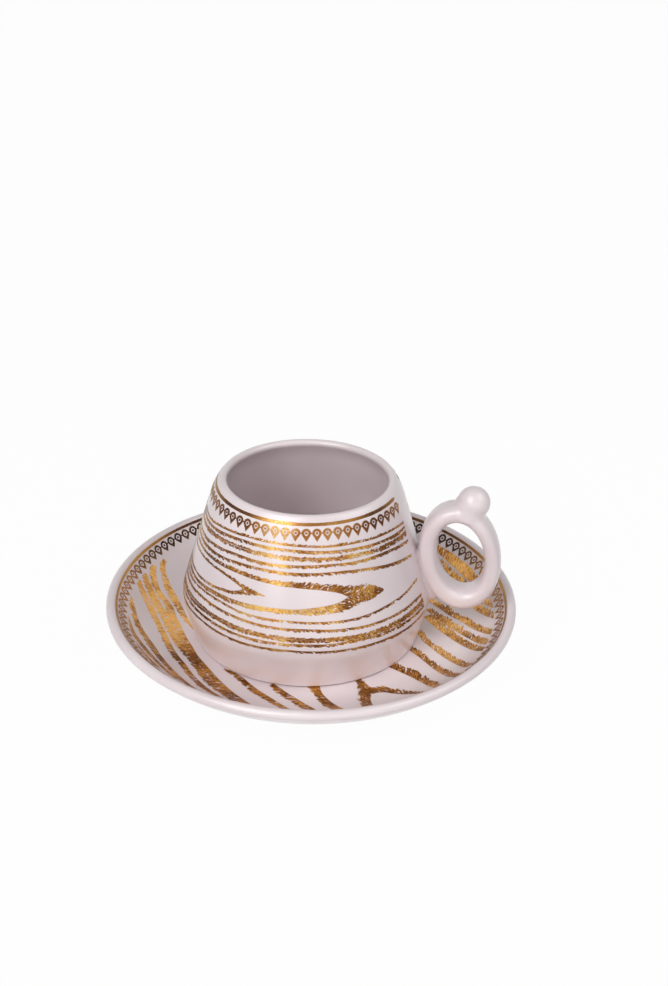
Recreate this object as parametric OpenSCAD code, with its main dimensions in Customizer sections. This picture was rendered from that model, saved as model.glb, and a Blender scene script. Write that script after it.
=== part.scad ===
// Arabic coffee cup on its saucer, in glazed porcelain with a fired gold print.
// Millimetres, +Z up. The origin is the centre of the saucer's foot, on the surface it stands on.
// The handle points along +X.

/* [Saucer] */
// Radius of the saucer over its rim
saucer_r = 62.5; // [56:0.5:75]
// Height of the flat well, on which the cup stands
well_z = 5; // [4:0.1:8]
// Thickness of the floor under the well
saucer_floor = 3.1; // [2.4:0.1:3.6]
// Room between the cup's foot and the edge of the well, where the cup stands furthest back
well_gap = 1.8; // [0.6:0.1:2.4]
// Slope at which the sweep meets the rim, in degrees
rim_angle = 55; // [45:1:60]
// Radius of the rounded rim
saucer_lip_r = 1.55; // [1.2:0.05:2]
// Radius of the sweep under the saucer
under_r = 35; // [32:1:40]
// Outer radius of the saucer's foot ring
saucer_foot_r = 37.5; // [34:0.5:40]
// Width of the saucer's foot ring
saucer_foot_w = 3; // [2:0.1:5]

/* [Cup] */
// Height of the cup from its foot to the top of its lip
cup_h = 50.8; // [44:0.2:56]
// How far the cup stands back from the middle of the saucer
cup_set_back = 1.6; // [0:0.1:3]
// Outer radius of the cup's foot
cup_foot_r = 35; // [32:0.2:36]
// Radius at which the foot band and the wall would meet
shoulder_r = 38.05; // [37:0.05:39]
// Height of that meeting above the foot
shoulder_h = 13.2; // [11:0.1:15]
// Radius that rounds the shoulder
shoulder_round = 11; // [8:0.5:14]
// Lean of the wall towards the mouth, in degrees
wall_lean = 16.4; // [14:0.1:18]
// Radius that turns the wall in towards the lip
top_round = 19.4; // [16:0.2:24]
// How far the middle of the lip turns in from the line of the wall
mouth_in = 2.18; // [2:0.02:3]
// Half of the wall's thickness, which also rounds the lip
cup_lip_r = 1.5; // [1.2:0.05:1.8]
// Width of the cup's foot ring
cup_foot_w = 3; // [2:0.1:4]
// Height of the hollow inside the cup's foot ring
cup_foot_h = 1.5; // [1:0.1:1.6]

/* [Handle] */
// Room between the ring and the wall, at the height of the ring's centre
ring_gap = 0.5; // [0:0.05:0.6]
// Height of the ring's centre above the cup's foot
ring_h = 28.5; // [26:0.1:30]
// Half of the ring's short axis, over the outside
ring_a = 11.85; // [11:0.05:13]
// Half of the ring's long axis, over the outside
ring_b = 17; // [15:0.1:18]
// Half of the finger hole's short axis
hole_a = 7.2; // [6:0.1:8]
// Half of the finger hole's long axis
hole_b = 11.85; // [10:0.05:13]
// How far the finger hole sits out from the ring's centre
hole_out = 0.3; // [0:0.05:0.8]
// How far the finger hole sits up from the ring's centre
hole_up = 0.65; // [0:0.05:1]
// Tilt of the ring towards the cup, in degrees
ring_tilt = 11; // [6:0.5:16]
// Width of the ring's section, across the handle
ring_w = 8.8; // [7:0.1:10]
// Least thickness of the seat between the ring and the wall
seat_t = 0.5; // [0.3:0.05:1]
// Radius of the thumb ball
ball_r = 4.9; // [4.4:0.1:5.2]
// How far the ball's centre lies out from the ring's centre
ball_out = 2.9; // [2.4:0.1:3.6]
// How far the ball's centre lies above the ring's centre
ball_up = 17.9; // [17.4:0.1:18.6]
// Radius of the ball's neck, where it meets the ball
neck_r = 4.2; // [3.6:0.1:4.3]
// Radius of the neck's foot, inside the ring
neck_foot_r = 4.3; // [3.6:0.1:4.4]

/* [Gold] */
// Thickness of the printed gold, drawn thicker than it is fired
gold_t = 0.1; // [0.06:0.01:0.2]
// Angle left bare on each side of the handle, in degrees
bare_angle = 13; // [10:1:20]
// Height of the cup's gold line below the top of its lip
line_drop = 2.4; // [2:0.1:2.6]
// Width of a gold line
line_w = 0.55; // [0.4:0.05:0.8]
// Number of drops that would fill the whole turn of the cup
cup_drops = 60; // [48:1:64]
// Width of one drop on the cup
cup_drop_w = 2.35; // [1.8:0.05:2.4]
// Length of one drop on the cup
cup_drop_l = 3.3; // [2.6:0.1:3.6]
// Number of drops round the saucer
saucer_drops = 108; // [90:1:112]
// Width of one drop on the saucer
saucer_drop_w = 2.5; // [2:0.05:2.7]
// Length of one drop on the saucer
saucer_drop_l = 2.8; // [2.2:0.1:3.2]
// Width of a drop's outline
drop_wall = 0.42; // [0.3:0.02:0.5]
// Radius of the dot inside a drop
dot_r = 0.28; // [0.2:0.02:0.34]
// Width of a thin grain line
grain_w = 0.75; // [0.5:0.05:1]

/* [Hidden] */

// Steps in a rounded stretch of an outline
arc_steps = 12;
// Roundness of full turns and of drops
turn_fn = 128;
ball_fn = 48;
drop_fn = 24;
// Steps in a drop's round end
drop_steps = 7;
// Distance kept between a print and the glaze that it lies on
film = 0.02;
// Rounding of a foot ring's edge
foot_edge = 0.5;
// How far a cutting shape runs past what it cuts
overrun = 2;
// Most that a flat facet of the saucer's sweep may stand off its true arc
facet_sag = 0.0215;

// Points on a circle about c, from angle a0 to angle a1
function arc(c, r, a0, a1, n = arc_steps) =
    [for (i = [0:n]) c + r * [cos(a0 + (a1 - a0) * i / n), sin(a0 + (a1 - a0) * i / n)]];
function angle_of(v) = atan2(v[1], v[0]);
function mid(a, b) = (a + b) / 2;

// Saucer: the well takes the cup's foot, and the sweep starts at its edge and ends at the rim
well_r = cup_foot_r + cup_set_back + well_gap;
sweep_r = (saucer_r - saucer_lip_r - well_r) / sin(rim_angle) - saucer_lip_r;
rim_c = [saucer_r - saucer_lip_r, well_z + sweep_r - (sweep_r + saucer_lip_r) * cos(rim_angle)];
sweep_c = [well_r, well_z + sweep_r];
// A larger sweep gets more facets, so that they still lie under the flat drops of its border
sweep_steps = ceil(rim_angle / (2 * acos(1 - facet_sag / sweep_r)));
under_z = well_z - saucer_floor;
under_rise = under_z + under_r - rim_c[1];
under_c = [rim_c[0] - sqrt(pow(under_r - saucer_lip_r, 2) - under_rise * under_rise),
           under_z + under_r];
under_end = -acos((saucer_foot_r - under_c[0]) / under_r);
rim_turn = angle_of(rim_c - under_c);
rim_top = rim_c[1] + saucer_lip_r;

// Cup: the wall is a straight cone between the rounded shoulder and the turned-in top
wall_dir = [-sin(wall_lean), cos(wall_lean)];
wall_in = [-cos(wall_lean), -sin(wall_lean)];
wall_t = 2 * cup_lip_r;
corner = [shoulder_r, shoulder_h];
band_run = corner - [cup_foot_r, 0];
band_dir = band_run / norm(band_run);
band_in = [-band_dir[1], band_dir[0]];
corner_turn = acos(band_dir * wall_dir);
corner_cut = shoulder_round * tan(corner_turn / 2);
band_end = corner - band_dir * corner_cut;
wall_start = corner + wall_dir * corner_cut;
shoulder_c = band_end + band_in * shoulder_round;
lip_h = cup_h - cup_lip_r;
lip_c = [wall_start[0] - (lip_h - wall_start[1]) * tan(wall_lean) - mouth_in, lip_h];
top_base = wall_start + wall_in * top_round - lip_c;
top_half = top_base * wall_dir;
top_gap = top_base * top_base - pow(top_round - cup_lip_r, 2);
wall_run = -top_half - sqrt(top_half * top_half - top_gap);
wall_end = wall_start + wall_dir * wall_run;
top_c = wall_end + wall_in * top_round;
lip_turn = angle_of(lip_c - top_c);
floor_h = shoulder_c[1] - (shoulder_round - wall_t);

// Outer radius of the cup at height h above its foot, from the shoulder to the lip
function wall_r(h) =
    h < wall_start[1] ? shoulder_c[0] + sqrt(pow(shoulder_round, 2) - pow(h - shoulder_c[1], 2))
    : h < wall_end[1] ? wall_start[0] - (h - wall_start[1]) * tan(wall_lean)
    : top_c[0] + sqrt(pow(top_round, 2) - pow(h - top_c[1], 2));
// Lean of the wall at height h, in degrees from upright
function lean_at(h) = h < wall_end[1] ? wall_lean : asin((h - top_c[1]) / top_round);

module at_cup() {
    translate([-cup_set_back, 0, well_z])
        children();
}

module saucer() {
    color("#e6dfe6")
        rotate_extrude($fn = turn_fn)
            polygon(concat(
                [[0, well_z]],
                arc(sweep_c, sweep_r, -90, rim_angle - 90, sweep_steps),
                arc(rim_c, saucer_lip_r, 90 + rim_angle, rim_turn),
                arc(under_c, under_r, rim_turn, under_end),
                [[saucer_foot_r, foot_edge], [saucer_foot_r - foot_edge, 0],
                 [saucer_foot_r - saucer_foot_w + foot_edge, 0],
                 [saucer_foot_r - saucer_foot_w, foot_edge],
                 [saucer_foot_r - saucer_foot_w, under_z], [0, under_z]]));
}

module cup_body() {
    foot_in = cup_foot_r - cup_foot_w;
    color("#e6dfe6")
        at_cup()
            rotate_extrude($fn = turn_fn)
                polygon(concat(
                    [[0, cup_foot_h], [foot_in - foot_edge, cup_foot_h], [foot_in, 0],
                     [cup_foot_r - foot_edge, 0],
                     [cup_foot_r, 0] + band_dir * foot_edge],
                    arc(shoulder_c, shoulder_round, angle_of(-band_in), wall_lean),
                    arc(top_c, top_round, wall_lean, lip_turn),
                    arc(lip_c, cup_lip_r, lip_turn, lip_turn + 180),
                    arc(top_c, top_round - wall_t, lip_turn, wall_lean),
                    arc(shoulder_c, shoulder_round - wall_t, wall_lean, -90),
                    [[0, floor_h]]));
}

// Handle ring: a rounded band between two tilted ovals
ring_steps = 56;
ring_sides = 16;
// Squareness of the ring's section, where 2 is an ellipse
section_power = 2.8;
ring_c = [wall_r(ring_h) + ring_a + ring_gap, ring_h];
hole_c = ring_c + [hole_out, hole_up];
function power_of(v) = sign(v) * pow(abs(v), 2 / section_power);
function oval(c, a, b, t) =
    c + [a * cos(t) * cos(ring_tilt) - b * sin(t) * sin(ring_tilt),
         a * cos(t) * sin(ring_tilt) + b * sin(t) * cos(ring_tilt)];
// The ring is pressed against a cone that stands off the wall by the seat
function pressed(x, y, h) = max(x, sqrt(pow(wall_r(h) + seat_t, 2) - y * y));
function ring_point(t, s) =
    let (outer = oval(ring_c, ring_a, ring_b, t),
         inner = oval(hole_c, hole_a, hole_b, t),
         p = mid(outer, inner) + (outer - inner) / 2 * power_of(cos(s)),
         y = ring_w / 2 * power_of(sin(s)))
    [pressed(p[0], y, p[1]), y, p[1]];

module ring_solid() {
    points = [for (i = [0:ring_steps - 1], j = [0:ring_sides - 1])
        ring_point(i * 360 / ring_steps, (j + 1 / 2) * 360 / ring_sides)];
    faces = [for (i = [0:ring_steps - 1], j = [0:ring_sides - 1])
        let (i1 = (i + 1) % ring_steps, j1 = (j + 1) % ring_sides)
        each [[i * ring_sides + j, i1 * ring_sides + j1, i * ring_sides + j1],
              [i * ring_sides + j, i1 * ring_sides + j, i1 * ring_sides + j1]]];
    polyhedron(points, faces);
}

module handle_ring() {
    color("#eae4e9")
        at_cup()
            ring_solid();
}

// Seat: the fired slip between the ring's skin and the wall, over the stretch that lies close
seat_low_angle = 168;
seat_high_angle = 234;
seat_steps = 12;
seat_half_angle = 56;
seat_rows = 8;
function on_wall(p) = [sqrt(pow(wall_r(p[2]) + film, 2) - p[1] * p[1]), p[1], p[2]];
function off_ring(p) = [p[0] - film, p[1], p[2]];

module handle_seat() {
    w = seat_rows + 1;
    skin = [for (i = [0:seat_steps], j = [0:seat_rows])
        off_ring(ring_point(seat_low_angle + (seat_high_angle - seat_low_angle) * i / seat_steps,
                            seat_half_angle * (2 * j / seat_rows - 1)))];
    foot = [for (p = skin) on_wall(p)];
    half = len(skin);
    front = [for (i = [0:seat_steps - 1], j = [0:seat_rows - 1])
        each [[i * w + j, i * w + j + 1, (i + 1) * w + j + 1],
              [i * w + j, (i + 1) * w + j + 1, (i + 1) * w + j]]];
    back = [for (f = front) [f[0] + half, f[2] + half, f[1] + half]];
    rim = concat([for (j = [0:seat_rows]) j],
                 [for (i = [1:seat_steps]) i * w + seat_rows],
                 [for (j = [1:seat_rows]) seat_steps * w + seat_rows - j],
                 [for (i = [1:seat_steps - 1]) (seat_steps - i) * w]);
    side = [for (k = [0:len(rim) - 1])
        let (a = rim[k], b = rim[(k + 1) % len(rim)])
        each [[a, b + half, b], [a, a + half, b + half]]];
    color("#ddd5dc")
        at_cup()
            polyhedron(concat(skin, foot), concat(front, back, side));
}

// Thumb ball: a ball on a short neck, revolved about the line from the ring's centre
module thumb_ball() {
    neck = [ball_out, ball_up];
    neck_l = norm(neck) - mid(ring_b, hole_b);
    meet = asin(neck_r / ball_r);
    color("#eae4e9")
        at_cup()
            difference() {
                translate([ring_c[0] + ball_out, 0, ring_c[1] + ball_up])
                    rotate([0, 90 - angle_of(neck), 0])
                        rotate_extrude($fn = ball_fn)
                            polygon(concat([[0, -neck_l], [neck_foot_r, -neck_l]],
                                           arc([0, 0], ball_r, meet - 90, 90)));
                ring_solid();
            }
}

// Gold on the cup
module cup_skin(h0, h1, steps = 5) {
    rotate([0, 0, bare_angle])
        rotate_extrude(angle = 360 - 2 * bare_angle, $fn = turn_fn)
            polygon(concat(
                [for (i = [0:steps]) let (h = h0 + (h1 - h0) * i / steps) [wall_r(h) + film, h]],
                [for (i = [0:steps]) let (h = h1 + (h0 - h1) * i / steps)
                    [wall_r(h) + film + gold_t, h]]));
}

module cup_gold_line() {
    h = cup_h - line_drop;
    color("#b8862f")
        at_cup()
            cup_skin(h - line_w / 2, h + line_w / 2);
}

// One drop, its point at the origin and its round end along +Y
module drop_shape(w, l) {
    difference() {
        drop_outline(w, l);
        translate([0, drop_wall * l / w])
            drop_outline(w - 2 * drop_wall, l - drop_wall * (1 + l / w));
    }
    translate([0, l - w / 2])
        circle(r = dot_r, $fn = drop_fn);
}

module drop_outline(w, l) {
    r = w / 2;
    touch = acos(r / (l - r));
    polygon(concat([[0, 0]], arc([0, l - r], r, touch - 90, 270 - touch, drop_steps)));
}

module cup_drop_border() {
    top = cup_h - line_drop - line_w;
    h = top - cup_drop_l / 2 * cos(lean_at(top));
    step = 360 / cup_drops;
    rows = floor((180 - bare_angle) / step);
    color("#a8742a")
        at_cup()
            for (i = [-rows:rows])
                rotate([0, 0, 180 + i * step])
                    translate([wall_r(h) + film, 0, h])
                        rotate([0, -lean_at(h), 0])
                            rotate([90, 0, 90])
                                translate([0, -cup_drop_l / 2])
                                    linear_extrude(height = gold_t)
                                        drop_shape(cup_drop_w, cup_drop_l);
}

// Grain lines on the cup, by their height as a share of the cup's, with widths in grain widths
grain_share = [0.878, 0.842, 0.806, 0.756, 0.714, 0.445, 0.405, 0.352, 0.312, 0.272];
grain_width_share = [0.7, 0.8, 1.6, 0.8, 0.8, 0.7, 0.8, 2, 1, 0.8];
// A pointed figure in the grain: corners by length and by height, as shares of its own size
figure_share = [[0, 0.44], [0.3, 0.45], [0.55, 0.46], [0.8, 0.42], [1, 0], [0.85, -0.42],
                [0.55, -0.5], [0.3, -0.5], [0, -0.5]];
figure_hollow_share = [[-0.1, 0.33], [0.3, 0.33], [0.55, 0.28], [0.76, 0], [0.55, -0.32],
                       [0.3, -0.38], [-0.1, -0.38]];
figure_l = 46;
figure_w_share = 0.187;
figure_w = figure_w_share * cup_h;
// Height of the figures' middle as a share of the cup's, on the straight stretch of the wall
figure_h_share = 0.557;
figure_h = figure_h_share * cup_h;
small_figure_share = 0.6;
// Turn of each figure's middle round the cup, and its size
figures = [[-79, 1], [-123, small_figure_share], [101, 1], [57, small_figure_share]];

module figure(size) {
    scaled = [figure_l * size, figure_w * size];
    difference() {
        polygon([for (p = figure_share) [(p[0] - 1 / 2) * scaled[0], p[1] * scaled[1]]]);
        polygon([for (p = figure_hollow_share) [(p[0] - 1 / 2) * scaled[0], p[1] * scaled[1]]]);
    }
}

module cup_grain_print() {
    reach = shoulder_r + overrun;
    color("#a06a22")
        at_cup() {
            for (i = [0:len(grain_share) - 1]) {
                h = grain_share[i] * cup_h;
                half = grain_w * grain_width_share[i] / 2;
                cup_skin(h - half, h + half);
            }
            for (f = figures)
                intersection() {
                    cup_skin(figure_h - figure_w, figure_h + figure_w, 1);
                    rotate([0, 0, f[0]])
                        translate([0, 0, figure_h])
                            rotate([90, 0, 90])
                                linear_extrude(height = reach)
                                    figure(f[1]);
                }
        }
}

// Gold on the saucer
function dish_point(r, lift) =
    sweep_c + (sweep_r - lift) * [sin(asin((r - well_r) / sweep_r)), -cos(asin((r - well_r) / sweep_r))];
line_r = rim_c[0] - saucer_lip_r;
border_r = line_r - line_w;

module dish_skin(r0, r1) {
    steps = 14;
    rotate_extrude($fn = turn_fn)
        polygon(concat(
            [for (i = [0:steps]) dish_point(r0 + (r1 - r0) * i / steps, film)],
            [for (i = [0:steps]) dish_point(r1 + (r0 - r1) * i / steps, film + gold_t)]));
}

module saucer_gold_line() {
    color("#b8862f")
        dish_skin(line_r - line_w / 2, line_r + line_w / 2);
}

// A flat drop on the hollow sweep is lifted until its ends clear the glaze
module saucer_drop_border() {
    slope = asin((border_r - saucer_drop_l / 2 - well_r) / sweep_r);
    lift = film + (pow(saucer_drop_l, 2) + pow(saucer_drop_w, 2)) / (8 * sweep_r);
    place = dish_point(border_r - saucer_drop_l / 2 * cos(slope), lift);
    color("#a8742a")
        for (i = [0:saucer_drops - 1])
            rotate([0, 0, i * 360 / saucer_drops])
                translate([place[0], 0, place[1]])
                    rotate([0, -slope, 0])
                        rotate([0, 0, -90])
                            translate([0, -saucer_drop_l / 2])
                                linear_extrude(height = gold_t)
                                    drop_shape(saucer_drop_w, saucer_drop_l);
}

// Grain strokes across the saucer: distance from its middle, bow and width, as shares of its radius
stroke_share = [[-0.885, -0.03, 0.02], [-0.83, -0.035, 0.03], [-0.75, 0.02, 0.035],
                [-0.69, 0.03, 0.04], [-0.645, 0.03, 0.035], [-0.545, 0.08, 0.03],
                [-0.43, 0.09, 0.035], [-0.28, 0.05, 0.05], [0.17, 0.02, 0.055],
                [0.31, 0, 0.05], [0.425, 0, 0.05], [0.575, 0.01, 0.07], [0.69, 0, 0.045],
                [0.8, 0, 0.05], [0.89, -0.02, 0.03]];
// Direction of the strokes, in degrees
stroke_angle = -51;
// Length of a stroke's bow as a share of the saucer's radius
bow_share = 0.8;
stroke_steps = 10;

module stroke(s) {
    reach = saucer_r;
    function off(y) = s[1] * saucer_r * pow(y / (bow_share * saucer_r), 2);
    polygon(concat(
        [for (i = [0:stroke_steps]) let (y = reach * (2 * i / stroke_steps - 1))
            [(s[0] + s[2] / 2) * saucer_r + off(y), y]],
        [for (i = [0:stroke_steps]) let (y = reach * (1 - 2 * i / stroke_steps))
            [(s[0] - s[2] / 2) * saucer_r + off(y), y]]));
}

module saucer_grain_print() {
    inner_r = well_r + film;
    outer_r = border_r - saucer_drop_l;
    color("#a06a22")
        intersection() {
            dish_skin(inner_r, outer_r);
            rotate([0, 0, 90 + stroke_angle])
                for (s = stroke_share)
                    linear_extrude(height = rim_top)
                        stroke(s);
        }
}

saucer();
cup_body();
handle_ring();
handle_seat();
thumb_ball();
cup_gold_line();
cup_drop_border();
cup_grain_print();
saucer_gold_line();
saucer_drop_border();
saucer_grain_print();
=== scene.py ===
"""Looks of an Arabic coffee cup on its saucer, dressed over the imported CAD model.

The scene is in metres in the CAD frame: the origin is the centre of the saucer's foot, +Z is up
and the handle points along +X. The sizes in the classes are in millimetres.
"""

import logging
import math
from dataclasses import dataclass, field
from enum import Enum

import bpy
import numpy as np
from mathutils import Matrix, Vector


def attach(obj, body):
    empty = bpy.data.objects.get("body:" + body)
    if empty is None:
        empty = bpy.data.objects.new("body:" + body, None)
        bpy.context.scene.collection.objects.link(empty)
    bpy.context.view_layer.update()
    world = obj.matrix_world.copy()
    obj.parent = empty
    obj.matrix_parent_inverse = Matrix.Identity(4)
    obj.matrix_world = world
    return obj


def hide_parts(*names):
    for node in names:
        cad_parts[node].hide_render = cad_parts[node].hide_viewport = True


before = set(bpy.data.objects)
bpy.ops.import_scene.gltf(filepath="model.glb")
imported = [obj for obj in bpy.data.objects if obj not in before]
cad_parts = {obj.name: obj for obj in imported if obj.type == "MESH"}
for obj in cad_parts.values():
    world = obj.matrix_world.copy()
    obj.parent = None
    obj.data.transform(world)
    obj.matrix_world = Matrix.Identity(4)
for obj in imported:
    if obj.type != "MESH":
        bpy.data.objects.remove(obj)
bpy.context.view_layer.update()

LOG = logging.getLogger("coffee_cup")
MM = 0.001
# Attribute that holds a printed point's place along and across its line
RUN = "run"
# Nearly all values of a noise texture lie between these two
NOISE_LOW, NOISE_HIGH = 0.35, 0.65

Point = tuple[float, float]
Path = tuple[Point, ...]
Face = tuple[int, ...]
Colour = tuple[float, float, float, float]
Tree = bpy.types.NodeTree
Socket = bpy.types.NodeSocket
Material = bpy.types.Material
Piece = bpy.types.Object


# Materials


def linear(hex_colour: str) -> Colour:
    """Turns an sRGB hex colour into the linear colour that Blender's sockets take.

    Args:
        hex_colour: The colour as "#rrggbb".

    Returns:
        Linear red, green, blue and an alpha of 1.
    """
    parts = [int(hex_colour[i : i + 2], 16) / 255 for i in (1, 3, 5)]
    flat = [c / 12.92 if c <= 0.04045 else ((c + 0.055) / 1.055) ** 2.4 for c in parts]
    return flat[0], flat[1], flat[2], 1.0


def add_node(
    tree: Tree,
    kind: str,
    settings: dict[str | int, object] | None = None,
    links: dict[str | int, Socket] | None = None,
) -> bpy.types.Node:
    """Adds a shader node, sets its options and input values, and links its inputs.

    Args:
        tree: The node tree to add to.
        kind: The node's type name.
        settings: Options by attribute name, or values by input name or number.
        links: Output sockets by the name or number of the input they feed.

    Returns:
        The new node.
    """
    node = tree.nodes.new(kind)
    for key, value in (settings or {}).items():
        if isinstance(key, str) and hasattr(node, key):
            setattr(node, key, value)
        else:
            node.inputs[key].default_value = value
    for key, socket in (links or {}).items():
        tree.links.new(socket, node.inputs[key])
    return node


def fresh_tree(name: str) -> tuple[Material, Tree]:
    """Makes an empty node material.

    Args:
        name: The material's name.

    Returns:
        The material and its emptied node tree.
    """
    material = bpy.data.materials.new(name)
    material.use_nodes = True
    material.node_tree.nodes.clear()
    return material, material.node_tree


def set_stops(ramp: bpy.types.Node, stops: list[tuple[float, Colour]]) -> Socket:
    """Gives a colour ramp its stops.

    Args:
        ramp: The colour ramp node.
        stops: Positions with their linear colours, in rising order.

    Returns:
        The ramp's colour.
    """
    elements = ramp.color_ramp.elements
    while len(elements) < len(stops):
        elements.new(0.5)
    for element, (position, colour) in zip(elements, stops):
        element.position = position
        element.color = colour
    return ramp.outputs["Color"]


@dataclass(frozen=True)
class GlazedPorcelain:
    """Hard-paste porcelain, pressed or slip-cast, dipped in a clear gloss glaze and fired.

    The eye gets a milky white body with a faint lilac cast, a slow swim in tone where the glaze
    lies thicker, a wet gloss, and a barely uneven skin that softens the edges of reflections.
    """

    name: str = "glazed_porcelain"
    pale: str = "#e9dddf"
    deep: str = "#dfd2d5"
    # Sizes of the slow swim in tone and of the skin's unevenness
    pool_mm: float = 26.0
    skin_mm: float = 7.0
    skin_height_mm: float = 0.02
    skin_strength: float = 0.35
    roughness: float = 0.3
    glass_ior: float = 1.5
    coat: float = 0.4
    coat_roughness: float = 0.18

    def material(self) -> Material:
        """Builds the glaze's node material.

        Returns:
            The material.
        """
        material, tree = fresh_tree(self.name)
        place = add_node(tree, "ShaderNodeTexCoord").outputs["Object"]
        pool = add_node(
            tree, "ShaderNodeTexNoise", {"Scale": 1 / (self.pool_mm * MM), "Detail": 2.0}, {"Vector": place}
        )
        ramp = add_node(tree, "ShaderNodeValToRGB", links={"Fac": pool.outputs["Fac"]})
        tone = set_stops(ramp, [(NOISE_LOW, linear(self.deep)), (NOISE_HIGH, linear(self.pale))])
        skin = add_node(
            tree, "ShaderNodeTexNoise", {"Scale": 1 / (self.skin_mm * MM), "Detail": 1.0}, {"Vector": place}
        )
        bump = add_node(
            tree,
            "ShaderNodeBump",
            {"Strength": self.skin_strength, "Distance": self.skin_height_mm * MM},
            {"Height": skin.outputs["Fac"]},
        )
        shader = add_node(
            tree,
            "ShaderNodeBsdfPrincipled",
            {
                "Roughness": self.roughness,
                "IOR": self.glass_ior,
                "Coat Weight": self.coat,
                "Coat Roughness": self.coat_roughness,
                "Coat IOR": self.glass_ior,
            },
            {"Base Color": tone, "Normal": bump.outputs["Normal"]},
        )
        add_node(tree, "ShaderNodeOutputMaterial", links={"Surface": shader.outputs[0]})
        return material


@dataclass(frozen=True)
class BiscuitFoot:
    """Unglazed fired porcelain, where the foot ring was wiped clean to stand in the kiln.

    The eye gets a dry, chalky, slightly warmer white with a fine sandy grain and no gloss.
    """

    name: str = "wiped_biscuit_foot"
    pale: str = "#e4dcd2"
    deep: str = "#d3c8bb"
    pale_from: float = 0.6
    # Real grit is finer than a tenth of this, and is drawn coarser so that it shows
    grain_mm: float = 0.5
    grain_height_mm: float = 0.05
    grain_strength: float = 0.5
    roughness: float = 0.85

    def material(self) -> Material:
        """Builds the biscuit's node material.

        Returns:
            The material.
        """
        material, tree = fresh_tree(self.name)
        place = add_node(tree, "ShaderNodeTexCoord").outputs["Object"]
        grain = add_node(
            tree, "ShaderNodeTexNoise", {"Scale": 1 / (self.grain_mm * MM), "Detail": 3.0}, {"Vector": place}
        )
        ramp = add_node(tree, "ShaderNodeValToRGB", links={"Fac": grain.outputs["Fac"]})
        tone = set_stops(ramp, [(NOISE_LOW, linear(self.deep)), (self.pale_from, linear(self.pale))])
        bump = add_node(
            tree,
            "ShaderNodeBump",
            {"Strength": self.grain_strength, "Distance": self.grain_height_mm * MM},
            {"Height": grain.outputs["Fac"]},
        )
        shader = add_node(
            tree,
            "ShaderNodeBsdfPrincipled",
            {"Roughness": self.roughness},
            {"Base Color": tone, "Normal": bump.outputs["Normal"]},
        )
        add_node(tree, "ShaderNodeOutputMaterial", links={"Surface": shader.outputs[0]})
        return material


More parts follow.
